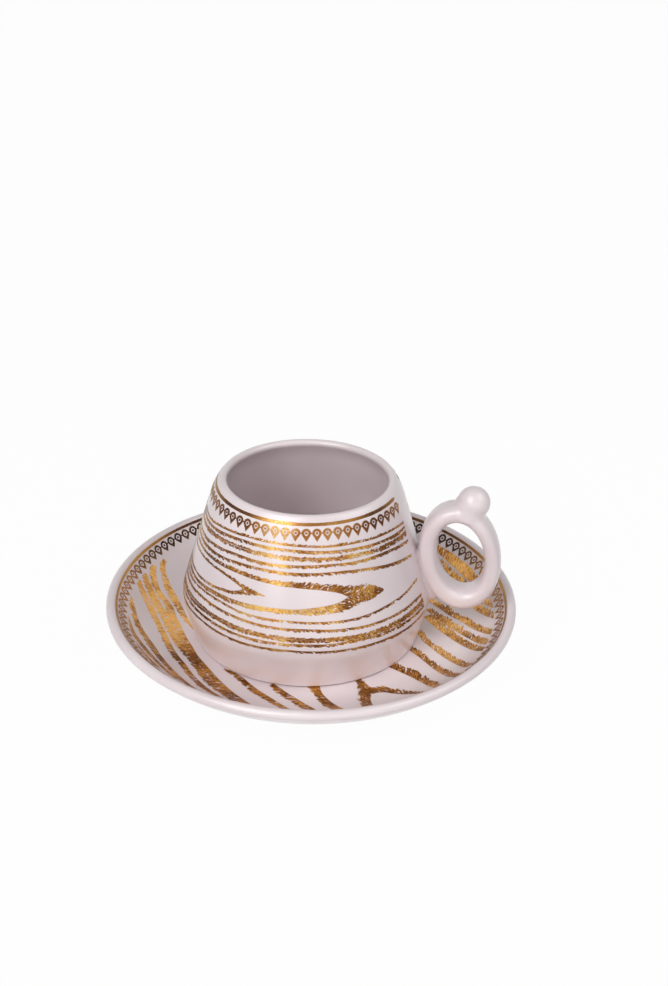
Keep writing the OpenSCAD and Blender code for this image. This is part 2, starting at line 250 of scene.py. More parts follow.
@dataclass(frozen=True)
class FiredGold:
    """Liquid bright gold, screen-printed as a transfer or brushed on, and fired on the glaze.

    The eye gets a thin metal with fine streaks along the print, burnt specks where the screen left it thin,
    and a slow random drift in tone. On top of this its colour carries a painted reflection: it runs from
    dark brown to pale yellow as it goes round the piece, dark where the gold would mirror a dark room and
    pale yellow where it would mirror a lamp. A glint is a turn in degrees with the painted reflection's
    level there, from 0 for the dark to 1 for the bright colour.
    """

    name: str
    dark: str
    middle: str
    bright: str
    # Painted reflection: the level of the gold's tone at each turn round the upright axis
    painted_glints: tuple[Point, ...]
    mottle: float
    drift_mm: float = 9.0
    # With no length, the streaks are round and follow the piece, not the print
    streak_mm: float = 0.45
    streak_long_mm: float = 0.0
    streak_share: float = 0.6
    # Real specks are finer, and are drawn coarser so that they show
    speck_mm: float = 0.4
    speck_height_mm: float = 0.03
    speck_strength: float = 0.4
    metallic: float = 0.8
    smooth_roughness: float = 0.24
    burnt_roughness: float = 0.49

    def painted_reflection(self, tree: Tree, place: Socket) -> Socket:
        """Adds the painted reflection: a level of tone that changes round the upright axis.

        Args:
            tree: The node tree to add to.
            place: The place on the piece.

        Returns:
            The tone.
        """
        parts = add_node(tree, "ShaderNodeSeparateXYZ", links={"Vector": place}).outputs
        turn = add_node(tree, "ShaderNodeMath", {"operation": "ARCTAN2"}, {0: parts["Y"], 1: parts["X"]})
        half_turn = {"From Min": -math.pi, "From Max": math.pi}
        share = add_node(tree, "ShaderNodeMapRange", half_turn, {"Value": turn.outputs[0]})
        ramp = add_node(tree, "ShaderNodeValToRGB", links={"Fac": share.outputs["Result"]})
        return set_stops(ramp, [((turn + 180) / 360, (tone, tone, tone, 1.0)) for turn, tone in self.painted_glints])

    def streaks(self, tree: Tree, place: Socket) -> Socket:
        """Adds the fine streaks: slanted across the print where it carries its run, else round specks.

        Args:
            tree: The node tree to add to.
            place: The place on the piece.

        Returns:
            The streaks' noise.
        """
        scale = 1 / (self.streak_mm * MM)
        if self.streak_long_mm:
            run = add_node(tree, "ShaderNodeAttribute", {"attribute_name": RUN}).outputs["Vector"]
            shape = (1 / self.streak_mm, 1 / self.streak_long_mm, 1.0)
            place = add_node(
                tree, "ShaderNodeVectorMath", {"operation": "MULTIPLY", 1: shape}, {0: run}
            ).outputs[0]
            scale = 1.0
        noise = add_node(tree, "ShaderNodeTexNoise", {"Scale": scale, "Detail": 2.0}, {"Vector": place})
        return noise.outputs["Fac"]

    def material(self) -> Material:
        """Builds the gold's node material.

        Returns:
            The material.
        """
        material, tree = fresh_tree(self.name)
        place = add_node(tree, "ShaderNodeTexCoord").outputs["Object"]
        drift = add_node(
            tree, "ShaderNodeTexNoise", {"Scale": 1 / (self.drift_mm * MM), "Detail": 2.0}, {"Vector": place}
        )
        blend = add_node(
            tree,
            "ShaderNodeMix",
            {"data_type": "FLOAT", 0: self.streak_share},
            {2: drift.outputs["Fac"], 3: self.streaks(tree, place)},
        )
        span = {"From Min": NOISE_LOW, "From Max": NOISE_HIGH}
        spread = {"To Min": -self.mottle, "To Max": self.mottle, "clamp": False}
        mottle = add_node(tree, "ShaderNodeMapRange", span | spread, {"Value": blend.outputs[0]})
        # The painted reflection round the piece, with the random mottle added to it
        painted_reflection = self.painted_reflection(tree, place)
        tone = add_node(
            tree, "ShaderNodeMath", {"operation": "ADD"}, {0: painted_reflection, 1: mottle.outputs["Result"]}
        )
        ramp = add_node(tree, "ShaderNodeValToRGB", links={"Fac": tone.outputs[0]})
        # The dark and bright ends are the gold as it would mirror a dark room and a lamp: painted reflection
        # and painted highlight
        tones = ((0.0, self.dark), (0.5, self.middle), (1.0, self.bright))
        colour = set_stops(ramp, [(position, linear(tone)) for position, tone in tones])
        speck = add_node(
            tree, "ShaderNodeTexNoise", {"Scale": 1 / (self.speck_mm * MM), "Detail": 1.0}, {"Vector": place}
        )
        burn = {"To Min": self.smooth_roughness, "To Max": self.burnt_roughness}
        rough = add_node(tree, "ShaderNodeMapRange", span | burn, {"Value": speck.outputs["Fac"]})
        bump = add_node(
            tree,
            "ShaderNodeBump",
            {"Strength": self.speck_strength, "Distance": self.speck_height_mm * MM},
            {"Height": speck.outputs["Fac"]},
        )
        shader = add_node(
            tree,
            "ShaderNodeBsdfPrincipled",
            {"Metallic": self.metallic},
            {"Base Color": colour, "Roughness": rough.outputs["Result"], "Normal": bump.outputs["Normal"]},
        )
        add_node(tree, "ShaderNodeOutputMaterial", links={"Surface": shader.outputs[0]})
        return material


# Mesh tools


def deselect() -> None:
    """Clears the selection, because an operator acts on all that is selected."""
    bpy.ops.object.select_all(action="DESELECT")


def finish_piece(obj: Piece, materials: list[Material], smooth_angle: float = 40.0) -> None:
    """Gives a piece its materials and smooth shading.

    Args:
        obj: The piece.
        materials: The materials for its slots, in order.
        smooth_angle: Edges sharper than this many degrees stay sharp.
    """
    obj.data.materials.clear()
    for material in materials:
        obj.data.materials.append(material)
    deselect()
    bpy.context.view_layer.objects.active = obj
    obj.select_set(True)
    bpy.ops.object.shade_smooth_by_angle(angle=math.radians(smooth_angle))
    deselect()


def arc(centre: Point, radius: float, start: float, end: float, steps: int) -> list[Point]:
    """Points along a circle's arc.

    Args:
        centre: The circle's centre.
        radius: Its radius.
        start: The first angle in degrees.
        end: The last angle in degrees.
        steps: The number of stretches.

    Returns:
        The points, both ends included.
    """
    turns = [math.radians(start + (end - start) * i / steps) for i in range(steps + 1)]
    return [(centre[0] + radius * math.cos(t), centre[1] + radius * math.sin(t)) for t in turns]


def lathe(name: str, outline: list[Point], axis_x: float, steps: int, weld: float = 0.002) -> Piece:
    """Turns a closed shape on the wheel: a point is extruded along the outline, then spun.

    Args:
        name: The piece's name.
        outline: Radius and height of each point in mm, from axis to axis.
        axis_x: Where the wheel's axis stands along X, in mm.
        steps: The number of steps in the full turn.
        weld: Points nearer than this become one, in mm.

    Returns:
        The spun object.
    """
    deselect()
    bpy.ops.mesh.primitive_plane_add(size=MM, location=(0, 0, 0))
    obj = bpy.context.active_object
    obj.name = obj.data.name = name
    bpy.ops.object.mode_set(mode="EDIT")
    bpy.ops.mesh.merge(type="CENTER")
    first = outline[0]
    bpy.ops.transform.translate(value=((axis_x + first[0]) * MM, 0, first[1] * MM))
    for here, there in zip(outline, outline[1:]):
        step = ((there[0] - here[0]) * MM, 0, (there[1] - here[1]) * MM)
        bpy.ops.mesh.extrude_vertices_move(TRANSFORM_OT_translate={"value": step})
    bpy.ops.mesh.select_all(action="SELECT")
    bpy.ops.mesh.spin(steps=steps, angle=2 * math.pi, center=(axis_x * MM, 0, 0), axis=(0, 0, 1))
    bpy.ops.mesh.select_all(action="SELECT")
    bpy.ops.mesh.remove_doubles(threshold=weld * MM)
    bpy.ops.mesh.normals_make_consistent(inside=False)
    bpy.ops.object.mode_set(mode="OBJECT")
    return obj


def sheet(name: str, points: list[Vector], faces: list[Face], run: list[Point] | None = None) -> Piece:
    """Makes an object from computed points, for the prints that lie on a curved glaze.

    Args:
        name: The piece's name.
        points: The vertices in metres.
        faces: The faces' vertex numbers.
        run: Each point's place along and across its printed line in mm, for the streaks.

    Returns:
        The linked object.
    """
    mesh = bpy.data.meshes.new(name)
    mesh.from_pydata(points, [], faces)
    mesh.validate()
    if run:
        layer = mesh.attributes.new(RUN, "FLOAT_VECTOR", "POINT")
        layer.data.foreach_set("vector", [value for place in run for value in (*place, 0.0)])
    obj = bpy.data.objects.new(name, mesh)
    bpy.context.scene.collection.objects.link(obj)
    return obj


@dataclass
class Grit:
    """Seeded smooth noise over a plane, for ragged edges and worn spots."""

    seed: int
    size: int = 128
    lattice: np.ndarray = field(init=False)

    def __post_init__(self) -> None:
        """Draws the noise lattice from the seed."""
        self.lattice = np.random.RandomState(self.seed).uniform(-1, 1, (self.size, self.size))

    def at(self, x: np.ndarray, y: np.ndarray) -> np.ndarray:
        """Smooth noise between -1 and 1.

        Args:
            x: First coordinates, in lattice cells.
            y: Second coordinates, in lattice cells.

        Returns:
            The noise at each place.
        """
        x, y = np.broadcast_arrays(np.asarray(x, float), np.asarray(y, float))
        column, row = np.floor(x).astype(int), np.floor(y).astype(int)
        fx, fy = x - column, y - row
        fx, fy = fx * fx * (3 - 2 * fx), fy * fy * (3 - 2 * fy)
        c0, c1 = column % self.size, (column + 1) % self.size
        r0, r1 = row % self.size, (row + 1) % self.size
        low = self.lattice[r0, c0] * (1 - fx) + self.lattice[r0, c1] * fx
        high = self.lattice[r1, c0] * (1 - fx) + self.lattice[r1, c1] * fx
        return low * (1 - fy) + high * fy


def contour(level: np.ndarray, spare: float = 0.06) -> tuple[list[Point], list[Face]]:
    """Cuts out the part of a grid where the level is above zero, with smooth edges.

    Args:
        level: The level at each grid point, rows by columns.
        spare: How near an edge may come to a grid point, as a share of a cell, so that no face is a sliver.

    Returns:
        The cut-out's points as column and row, and its faces.
    """
    rows, columns = level.shape
    inside = level > 0
    points: list[Point] = []
    faces: list[Face] = []
    known: dict[tuple[int, int, int, int], int] = {}

    def number(r0: int, c0: int, r1: int, c1: int) -> int:
        """Makes the point on an edge or corner once.

        Args:
            r0: Row of the edge's one end.
            c0: Column of that end.
            r1: Row of the other end, the same for a corner.
            c1: Column of the other end.

        Returns:
            The point's number.
        """
        key = (r0, c0, r1, c1) if (r0, c0) <= (r1, c1) else (r1, c1, r0, c0)
        if key not in known:
            r0, c0, r1, c1 = key
            if (r0, c0) == (r1, c1):
                share = 0.0
            else:
                a, b = level[r0, c0], level[r1, c1]
                share = min(max(a / (a - b), spare), 1 - spare)
            known[key] = len(points)
            points.append((c0 + (c1 - c0) * share, r0 + (r1 - r0) * share))
        return known[key]

    some = inside[:-1, :-1] | inside[:-1, 1:] | inside[1:, :-1] | inside[1:, 1:]
    for r, c in zip(*np.nonzero(some)):
        ring = ((r, c), (r, c + 1), (r + 1, c + 1), (r + 1, c))
        face = []
        for k in range(4):
            here, there = ring[k], ring[(k + 1) % 4]
            if inside[here]:
                face.append(number(*here, *here))
            if inside[here] != inside[there]:
                face.append(number(*here, *there))
        faces.append(tuple(face))
    return points, faces


# Saucer


@dataclass
class Saucer:
    """The saucer: a flat well, a sweep up to a rounded rim, and a foot ring beneath."""

    rim_r: float = 62.49
    lip_r: float = 1.55
    well_r: float = 38.4
    well_z: float = 5.0
    floor: float = 3.1
    # Degrees of the sweep, and the radius of the curve under it
    rim_angle: float = 55.0
    under_r: float = 35.0
    foot_r: float = 37.5
    foot_w: float = 3.0
    foot_round: float = 0.5
    # How far out the sweep is followed, as a share of its radius
    sweep_share: float = 0.83
    flat_steps: int = 6
    sweep_steps: int = 22
    rim_steps: int = 18
    under_steps: int = 20
    edge_steps: int = 4
    base_steps: int = 4
    turns: int = 192

    @property
    def sweep_r(self) -> float:
        """Radius of the sweep from the well to the rim."""
        return (self.rim_r - self.lip_r - self.well_r) / math.sin(math.radians(self.rim_angle)) - self.lip_r

    @property
    def rim_c(self) -> Point:
        """Centre of the rounded rim's section."""
        drop = (self.sweep_r + self.lip_r) * math.cos(math.radians(self.rim_angle))
        return self.rim_r - self.lip_r, self.well_z + self.sweep_r - drop

    def height(self, radius: float) -> float:
        """Says how high the upper face lies.

        Args:
            radius: The distance from the middle, in mm.

        Returns:
            The height in mm.
        """
        if radius <= self.well_r:
            return self.well_z
        run = min(radius - self.well_r, self.sweep_r * self.sweep_share)
        return self.well_z + self.sweep_r - math.sqrt(self.sweep_r**2 - run**2)

    def outline(self) -> list[Point]:
        """Draws the section from the axis over the top and back under.

        Returns:
            Radius and height of each point, in mm.
        """
        sweep_c = (self.well_r, self.well_z + self.sweep_r)
        under_z = self.well_z - self.floor
        rise = under_z + self.under_r - self.rim_c[1]
        reach = math.sqrt((self.under_r - self.lip_r) ** 2 - rise**2)
        under_c = (self.rim_c[0] - reach, under_z + self.under_r)
        under_end = -math.degrees(math.acos((self.foot_r - under_c[0]) / self.under_r))
        rim_turn = math.degrees(math.atan2(self.rim_c[1] - under_c[1], self.rim_c[0] - under_c[0]))
        inner = self.foot_r - self.foot_w
        edge = self.foot_round
        flat = [(self.well_r * k / self.flat_steps, self.well_z) for k in range(self.flat_steps)]
        base = [(inner * k / self.base_steps, under_z) for k in reversed(range(self.base_steps))]
        return (
            flat
            + arc(sweep_c, self.sweep_r, -90, self.rim_angle - 90, self.sweep_steps)
            + arc(self.rim_c, self.lip_r, 90 + self.rim_angle, rim_turn, self.rim_steps)[1:]
            + arc(under_c, self.under_r, rim_turn, under_end, self.under_steps)[1:]
            + arc((self.foot_r - edge, edge), edge, 0, -90, self.edge_steps)
            + arc((inner + edge, edge), edge, -90, -180, self.edge_steps)
            + arc((inner - edge, under_z - edge), edge, 0, 90, self.edge_steps)
            + base
        )

    def build(self, glaze: Material, biscuit: Material) -> Piece:
        """Turns the saucer and dresses it.

        Args:
            glaze: The material of the glazed skin.
            biscuit: The material of the wiped foot.

        Returns:
            The saucer.
        """
        obj = lathe("saucer_dish", self.outline(), 0.0, self.turns)
        finish_piece(obj, [glaze, biscuit])
        wipe_foot(obj, self.foot_round * MM)
        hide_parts("saucer")
        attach(obj, "saucer")
        return obj


def wipe_foot(obj: Piece, height: float, share: float = 0.9, facing: float = -0.1) -> None:
    """Gives the faces of a foot ring's underside the second material.

    Args:
        obj: The piece.
        height: Where the foot's rounded edge ends, in metres.
        share: The wiped share of that height, from the bottom.
        facing: A wiped face's normal points down by at least this much.
    """
    for face in obj.data.polygons:
        if face.center.z < height * share and face.normal.z < facing:
            face.material_index = 1


# Cup


@dataclass
class Cup:
    """The cup's shell: foot band, rounded shoulder, leaning wall and turned-in lip."""

    height: float = 50.8
    axis_x: float = -1.6
    base_z: float = 5.0
    foot_r: float = 35.0
    # Corner where the foot band would meet the wall, and the radius that rounds it
    shoulder_r: float = 38.05
    shoulder_h: float = 13.2
    shoulder_round: float = 11.0
    # The wall's lean in degrees
    lean: float = 16.4
    # Radius of the curve below the lip, and how far the lip's middle stands in from the wall's line
    top_round: float = 19.4
    mouth_in: float = 2.43
    lip_r: float = 1.25
    foot_w: float = 3.0
    foot_h: float = 1.5
    foot_lift: float = 0.3
    foot_round: float = 0.5
    # Run of the slope from the base to the foot ring, as a share of the foot's height
    foot_slope: float = 0.6
    base_steps: int = 4
    edge_steps: int = 4
    shoulder_steps: int = 18
    top_steps: int = 6
    lip_steps: int = 16
    turns: int = 192

    def __post_init__(self) -> None:
        """Works out the section's centres from its sizes."""
        lean = math.radians(self.lean)
        along = np.array([-math.sin(lean), math.cos(lean)])
        inward = np.array([-math.cos(lean), -math.sin(lean)])
        corner = np.array([self.shoulder_r, self.shoulder_h])
        band = corner - np.array([self.foot_r, 0.0])
        band /= np.linalg.norm(band)
        band_in = np.array([-band[1], band[0]])
        cut = self.shoulder_round * math.tan(math.acos(float(band @ along)) / 2)
        self.band_end = corner - band * cut
        self.wall_start = corner + along * cut
        self.shoulder_c = self.band_end + band_in * self.shoulder_round
        self.band_angle = math.degrees(math.atan2(-band_in[1], -band_in[0]))
        lip_h = self.height - self.lip_r
        lip_x = self.wall_start[0] - (lip_h - self.wall_start[1]) * math.tan(lean) - self.mouth_in
        self.lip_c = np.array([lip_x, lip_h])
        base = self.wall_start + inward * self.top_round - self.lip_c
        half = float(base @ along)
        gap = float(base @ base) - (self.top_round - self.lip_r) ** 2
        self.wall_end = self.wall_start + along * (-half - math.sqrt(half * half - gap))
        self.top_c = self.wall_end + inward * self.top_round
        to_lip = self.lip_c - self.top_c
        self.lip_turn = math.degrees(math.atan2(to_lip[1], to_lip[0]))
        self.floor_h = self.shoulder_c[1] - (self.shoulder_round - 2 * self.lip_r)

    def radius(self, h: float) -> float:
        """Says how far the outside of the wall stands from the cup's axis.

        Args:
            h: Height above the foot, in mm.

        Returns:
            The radius in mm.
        """
        if h < self.wall_start[1]:
            bulge = self.shoulder_round**2 - (h - self.shoulder_c[1]) ** 2
            return self.shoulder_c[0] + math.sqrt(max(bulge, 0))
        if h < self.wall_end[1]:
            return self.wall_start[0] - (h - self.wall_start[1]) * math.tan(math.radians(self.lean))
        return self.top_c[0] + math.sqrt(self.top_round**2 - (h - self.top_c[1]) ** 2)

    def lean_at(self, h: float) -> float:
        """Says how far the wall leans in.

        Args:
            h: Height above the foot, in mm.

        Returns:
            The lean in radians from upright.
        """
        if h < self.wall_end[1]:
            return math.radians(self.lean)
        return math.asin((h - self.top_c[1]) / self.top_round)

    def on_wall(self, turn: float, h: float, lift: float) -> Vector:
        """A point on the outside of the wall.

        Args:
            turn: Degrees round from the handle, seen from above.
            h: Height above the foot, in mm.
            lift: Distance off the glaze, in mm.

        Returns:
            The point in metres.
        """
        lean = self.lean_at(h)
        r = self.radius(h) + lift * math.cos(lean)
        z = self.base_z + h + lift * math.sin(lean)
        t = math.radians(turn)
        return Vector(((self.axis_x + r * math.cos(t)) * MM, r * math.sin(t) * MM, z * MM))

    def outline(self) -> list[Point]:
        """Draws the section from the middle of the base, over the lip, to the middle of the floor.

        Returns:
            Radius and height of each point, in mm.
        """
        inner_foot = self.foot_r - self.foot_w
        wall = 2 * self.lip_r
        edge = self.foot_round
        low = self.foot_lift
        shoulder_c, top_c, lip_c = tuple(self.shoulder_c), tuple(self.top_c), tuple(self.lip_c)
        points = [(inner_foot * k / self.base_steps, self.foot_h) for k in range(self.base_steps)]
        points += [(inner_foot - self.foot_h * self.foot_slope, self.foot_h)]
        points += arc((inner_foot + edge, low + edge), edge, 180, 270, self.edge_steps)
        points += arc((self.foot_r - edge, low + edge), edge, -90, 0, self.edge_steps)
        points += arc(shoulder_c, self.shoulder_round, self.band_angle, self.lean, self.shoulder_steps)
        points += arc(top_c, self.top_round, self.lean, self.lip_turn, self.top_steps)
        points += arc(lip_c, self.lip_r, self.lip_turn, self.lip_turn + 180, self.lip_steps)[1:]
        points += arc(top_c, self.top_round - wall, self.lip_turn, self.lean, self.top_steps)[1:]
        points += arc(shoulder_c, self.shoulder_round - wall, self.lean, -90, self.shoulder_steps)
        floor = reversed(range(self.base_steps))
        points += [(shoulder_c[0] * k / self.base_steps, self.floor_h) for k in floor]
        return [(x, y + self.base_z) for x, y in points]

    def build(self, glaze: Material, biscuit: Material) -> Piece:
        """Turns the cup's shell and dresses it.

        Args:
            glaze: The material of the glazed skin.
            biscuit: The material of the wiped foot.

        Returns:
            The cup's shell.
        """
        obj = lathe("cup_shell", self.outline(), self.axis_x, self.turns)
        finish_piece(obj, [glaze, biscuit])
        wipe_foot(obj, (self.base_z + self.foot_round) * MM)
        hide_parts("cup_body")
        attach(obj, "cup")
        return obj


@dataclass
class Handle:
    """The ring handle with its slip seat and thumb ball, one skin under the glaze."""

    cup: Cup
    # Height of the ring's middle, and half the width and height of its oval
    ring_h: float = 28.5
    ring_a: float = 11.85
    ring_b: float = 17.0
    gap: float = 0.5
    # Half the width and height of the finger hole, and its middle from the ring's
    hole_a: float = 7.2
    hole_b: float = 11.85
    hole_out: float = 0.3
    hole_up: float = 0.65
    # Lean of both ovals in degrees
    tilt: float = 11.0
    # Width of the section, and how square it is: 2 is an oval
    width: float = 8.8
    power: float = 2.8
    # The section is grown by this before the melt draws it in
    swell: float = 0.3
    ball_r: float = 4.9
    ball_out: float = 2.9
    ball_up: float = 17.9
    neck_top_r: float = 4.65
    neck_foot_r: float = 5.1
    neck_l: float = 4.8
    neck_in: float = 0.7
    # Where the slip starts and ends, in degrees round the ring
    seat_from: float = 168.0
    seat_to: float = 238.0
    # Distance out from the wall and half width of the slip
    seat_section: Path = ((-0.9, 4.3), (0.05, 3.7), (0.6, 3.3), (2.2, 3.0))
    # Share of its width that the slip keeps at its ends, and how much of its length they take
    seat_end: float = 0.35
    seat_end_run: float = 0.06
    voxel_mm: float = 0.36
    melt: float = 0.5
    melt_rounds: int = 10
    ring_steps: int = 120
    section_steps: int = 32
    ball_steps: int = 48
    seat_steps: int = 14

    @property
    def ring_c(self) -> np.ndarray:
        """Centre of the ring from the cup's axis and foot."""
        return np.array([self.cup.radius(self.ring_h) + self.ring_a + self.gap, self.ring_h])

    def oval(self, centre: np.ndarray, a: float, b: float, t: float) -> np.ndarray:
        """Finds a point of an oval that leans with the ring.

        Args:
            centre: The oval's centre.
            a: Its half width in mm.
            b: Its half height in mm.
            t: Place round the oval, in radians.

        Returns:
            The point.
        """
        lean = math.radians(self.tilt)
        across, up = a * math.cos(t), b * math.sin(t)
        out = across * math.cos(lean) - up * math.sin(lean)
        return centre + np.array([out, across * math.sin(lean) + up * math.cos(lean)])

    def ring_point(self, t: float, s: float, grow: float = 0.0) -> tuple[float, float, float]:
        """A point of the ring's skin.

        Args:
            t: Place round the ring, in radians.
            s: Place round the section, in radians.
            grow: How far the section is grown, in mm.

        Returns:
            Distance from the cup's axis, sideways place and height over the foot, in mm.
        """
        hole_c = self.ring_c + np.array([self.hole_out, self.hole_up])
        outer = self.oval(self.ring_c, self.ring_a + grow, self.ring_b + grow, t)
        inner = self.oval(hole_c, self.hole_a - grow, self.hole_b - grow, t)

        def power_of(v: float) -> float:
            """The rounded-square law of the section."""
            return math.copysign(abs(v) ** (2 / self.power), v)

        p = (outer + inner) / 2 + (outer - inner) / 2 * power_of(math.cos(s))
        return float(p[0]), (self.width / 2 + grow) * power_of(math.sin(s)), float(p[1])

    def world(self, p: tuple[float, float, float]) -> Vector:
        """A point beside the cup's axis as a point of the scene, in metres."""
        return Vector(((self.cup.axis_x + p[0]) * MM, p[1] * MM, (self.cup.base_z + p[2]) * MM))

    def ring(self) -> Piece:
        """Presses the ring: a torus whose skin is drawn out to two tilted ovals.

        Returns:
            The ring.
        """
        major, minor = self.ring_steps, self.section_steps
        deselect()
        bpy.ops.mesh.primitive_torus_add(
            major_segments=major,
            minor_segments=minor,
            major_radius=self.ring_b * MM,
            minor_radius=self.width / 2 * MM,
        )
        obj = bpy.context.active_object
        for k, vertex in enumerate(obj.data.vertices):
            t, s = 2 * math.pi * (k // minor) / major, 2 * math.pi * (k % minor) / minor
            vertex.co = self.world(self.ring_point(t, s, self.swell))
        return obj

    def ball(self) -> Piece:
        """Rolls the thumb ball, with the neck that sinks into the ring.

        Returns:
            The ball with its neck.
        """
        centre = self.ring_c + np.array([self.ball_out, self.ball_up])
        middle = self.world((float(centre[0]), 0.0, float(centre[1])))
        deselect()
        bpy.ops.mesh.primitive_uv_sphere_add(
            segments=self.ball_steps,
            ring_count=self.ball_steps // 2,
            radius=self.ball_r * MM,
            location=middle,
        )
        ball = bpy.context.active_object
        toward = Vector((-self.ball_out, 0, -self.ball_up)).normalized()
        turn = Vector((0, 0, -1)).rotation_difference(toward)
        bpy.ops.mesh.primitive_cone_add(
            vertices=self.ball_steps,
            radius1=self.neck_foot_r * MM,
            radius2=self.neck_top_r * MM,
            depth=self.neck_l * MM,
            location=middle + toward * self.neck_l / 2 * MM - Vector((self.neck_in * MM, 0, 0)),
        )
        neck = bpy.context.active_object
        neck.rotation_mode = "QUATERNION"
        neck.rotation_quaternion = turn
        return join([ball, neck])

    def seat(self) -> Piece:
        """Lays the slip between the ring and the wall, flaring towards the wall.

        Returns:
            The seat.
        """
        steps = self.seat_steps
        points: list[Vector] = []
        for i in range(steps + 1):
            share = i / steps
            t = math.radians(self.seat_from + (self.seat_to - self.seat_from) * share)
            _, _, h = self.ring_point(t, 0.0)
            wall = self.cup.radius(h)
            inside = min(max(share, self.seat_end_run), 1 - self.seat_end_run)
            squeeze = self.seat_end + (1 - self.seat_end) * math.sqrt(math.sin(math.pi * inside))
            left = [(wall + out, half * squeeze, h) for out, half in self.seat_section]
            right = [(x, -y, z) for x, y, z in reversed(left)]
            points += [self.world(p) for p in left + right]
        ring = 2 * len(self.seat_section)
        faces: list[Face] = [
            (i * ring + j, i * ring + (j + 1) % ring, (i + 1) * ring + (j + 1) % ring, (i + 1) * ring + j)
            for i in range(steps)
            for j in range(ring)
        ]
        faces += [tuple(range(ring - 1, -1, -1)), tuple(range(steps * ring, (steps + 1) * ring))]
        return sheet("seat", points, faces)

    def build(self, glaze: Material) -> Piece:
        """Joins ring, ball and seat under one skin and dresses it.

        Args:
            glaze: The material of the glazed skin.

        Returns:
            The handle.
        """
        obj = join([self.ring(), self.ball(), self.seat()])
        obj.name = obj.data.name = "ring_handle"
        bpy.context.view_layer.objects.active = obj
        obj.select_set(True)
        bpy.ops.object.transform_apply(location=True, rotation=True, scale=True)
        bpy.ops.object.mode_set(mode="EDIT")
        bpy.ops.mesh.select_all(action="SELECT")
        bpy.ops.mesh.normals_make_consistent(inside=False)
        bpy.ops.object.mode_set(mode="OBJECT")
        skin = obj.modifiers.new("skin", "REMESH")
        skin.mode = "VOXEL"
        skin.voxel_size = self.voxel_mm * MM
        bpy.ops.object.modifier_apply(modifier="skin")
        melt = obj.modifiers.new("melt", "CORRECTIVE_SMOOTH")
        melt.factor = self.melt
        melt.iterations = self.melt_rounds
        melt.smooth_type = "SIMPLE"
        melt.use_only_smooth = True
        bpy.ops.object.modifier_apply(modifier="melt")
        finish_piece(obj, [glaze], smooth_angle=180.0)
        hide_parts("handle_ring", "handle_seat", "thumb_ball")
        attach(obj, "cup")
        return obj


def join(objects: list[Piece]) -> Piece:
    """Joins objects into the first of them.

    Args:
        objects: The objects to join.

    Returns:
        The joined object.
    """
    deselect()
    for obj in objects:
        obj.select_set(True)
    bpy.context.view_layer.objects.active = objects[0]
    bpy.ops.object.join()
    return bpy.context.active_object


# Gold prints


# Distance in mm between one grain line's streaks and the next one's
RUN_GAP = 40.0
# Places in the noise for each use of it, so that they don't echo one another
SWELL_ROW, WOBBLE_ROW, DASH_ROW = 3.5, 7.5, 5.5
WORN_COLUMN, WORN_ROW = 61.0, 29.5
BAND_ROW = 0.5


class Fringe(Enum):
    """The side of a grain line that is ragged, seen along its path."""

    LEFT = 1
    RIGHT = -1


@dataclass(frozen=True)
class GrainStyle:
    """How the screen draws a grain line: sizes in mm, and the ink's surplus over its threshold.

    The ink is solid at the crisp edge and loses surplus across the line, so that slanted dashes
    of noise open it up into a fringe.
    """

    step: float = 0.15
    row: float = 0.15
    dash: float = 0.3
    dash_long: float = 0.9
    slant: float = 1.0
    surplus: float = 1.3
    loss: float = 2.0
    loss_power: float = 2.0
    solid: float = 0.62
    # Width of the crisp edge that never wears off
    edge: float = 0.3
    wobble: float = 0.04
    wobble_long: float = 0.8
    # Share by which a line grows and shrinks, and over what length
    swell: float = 0.12
    swell_long: float = 4.0
    # The ink ends at this share of the line's width, and the grid holds a little more
    reach: float = 1.1
    grid_reach: float = 1.25
    grid_spare: float = 0.3
    # Weight of the noise beside the distances from the edges
    noise_weight: float = 0.3
    border_level: float = -0.02


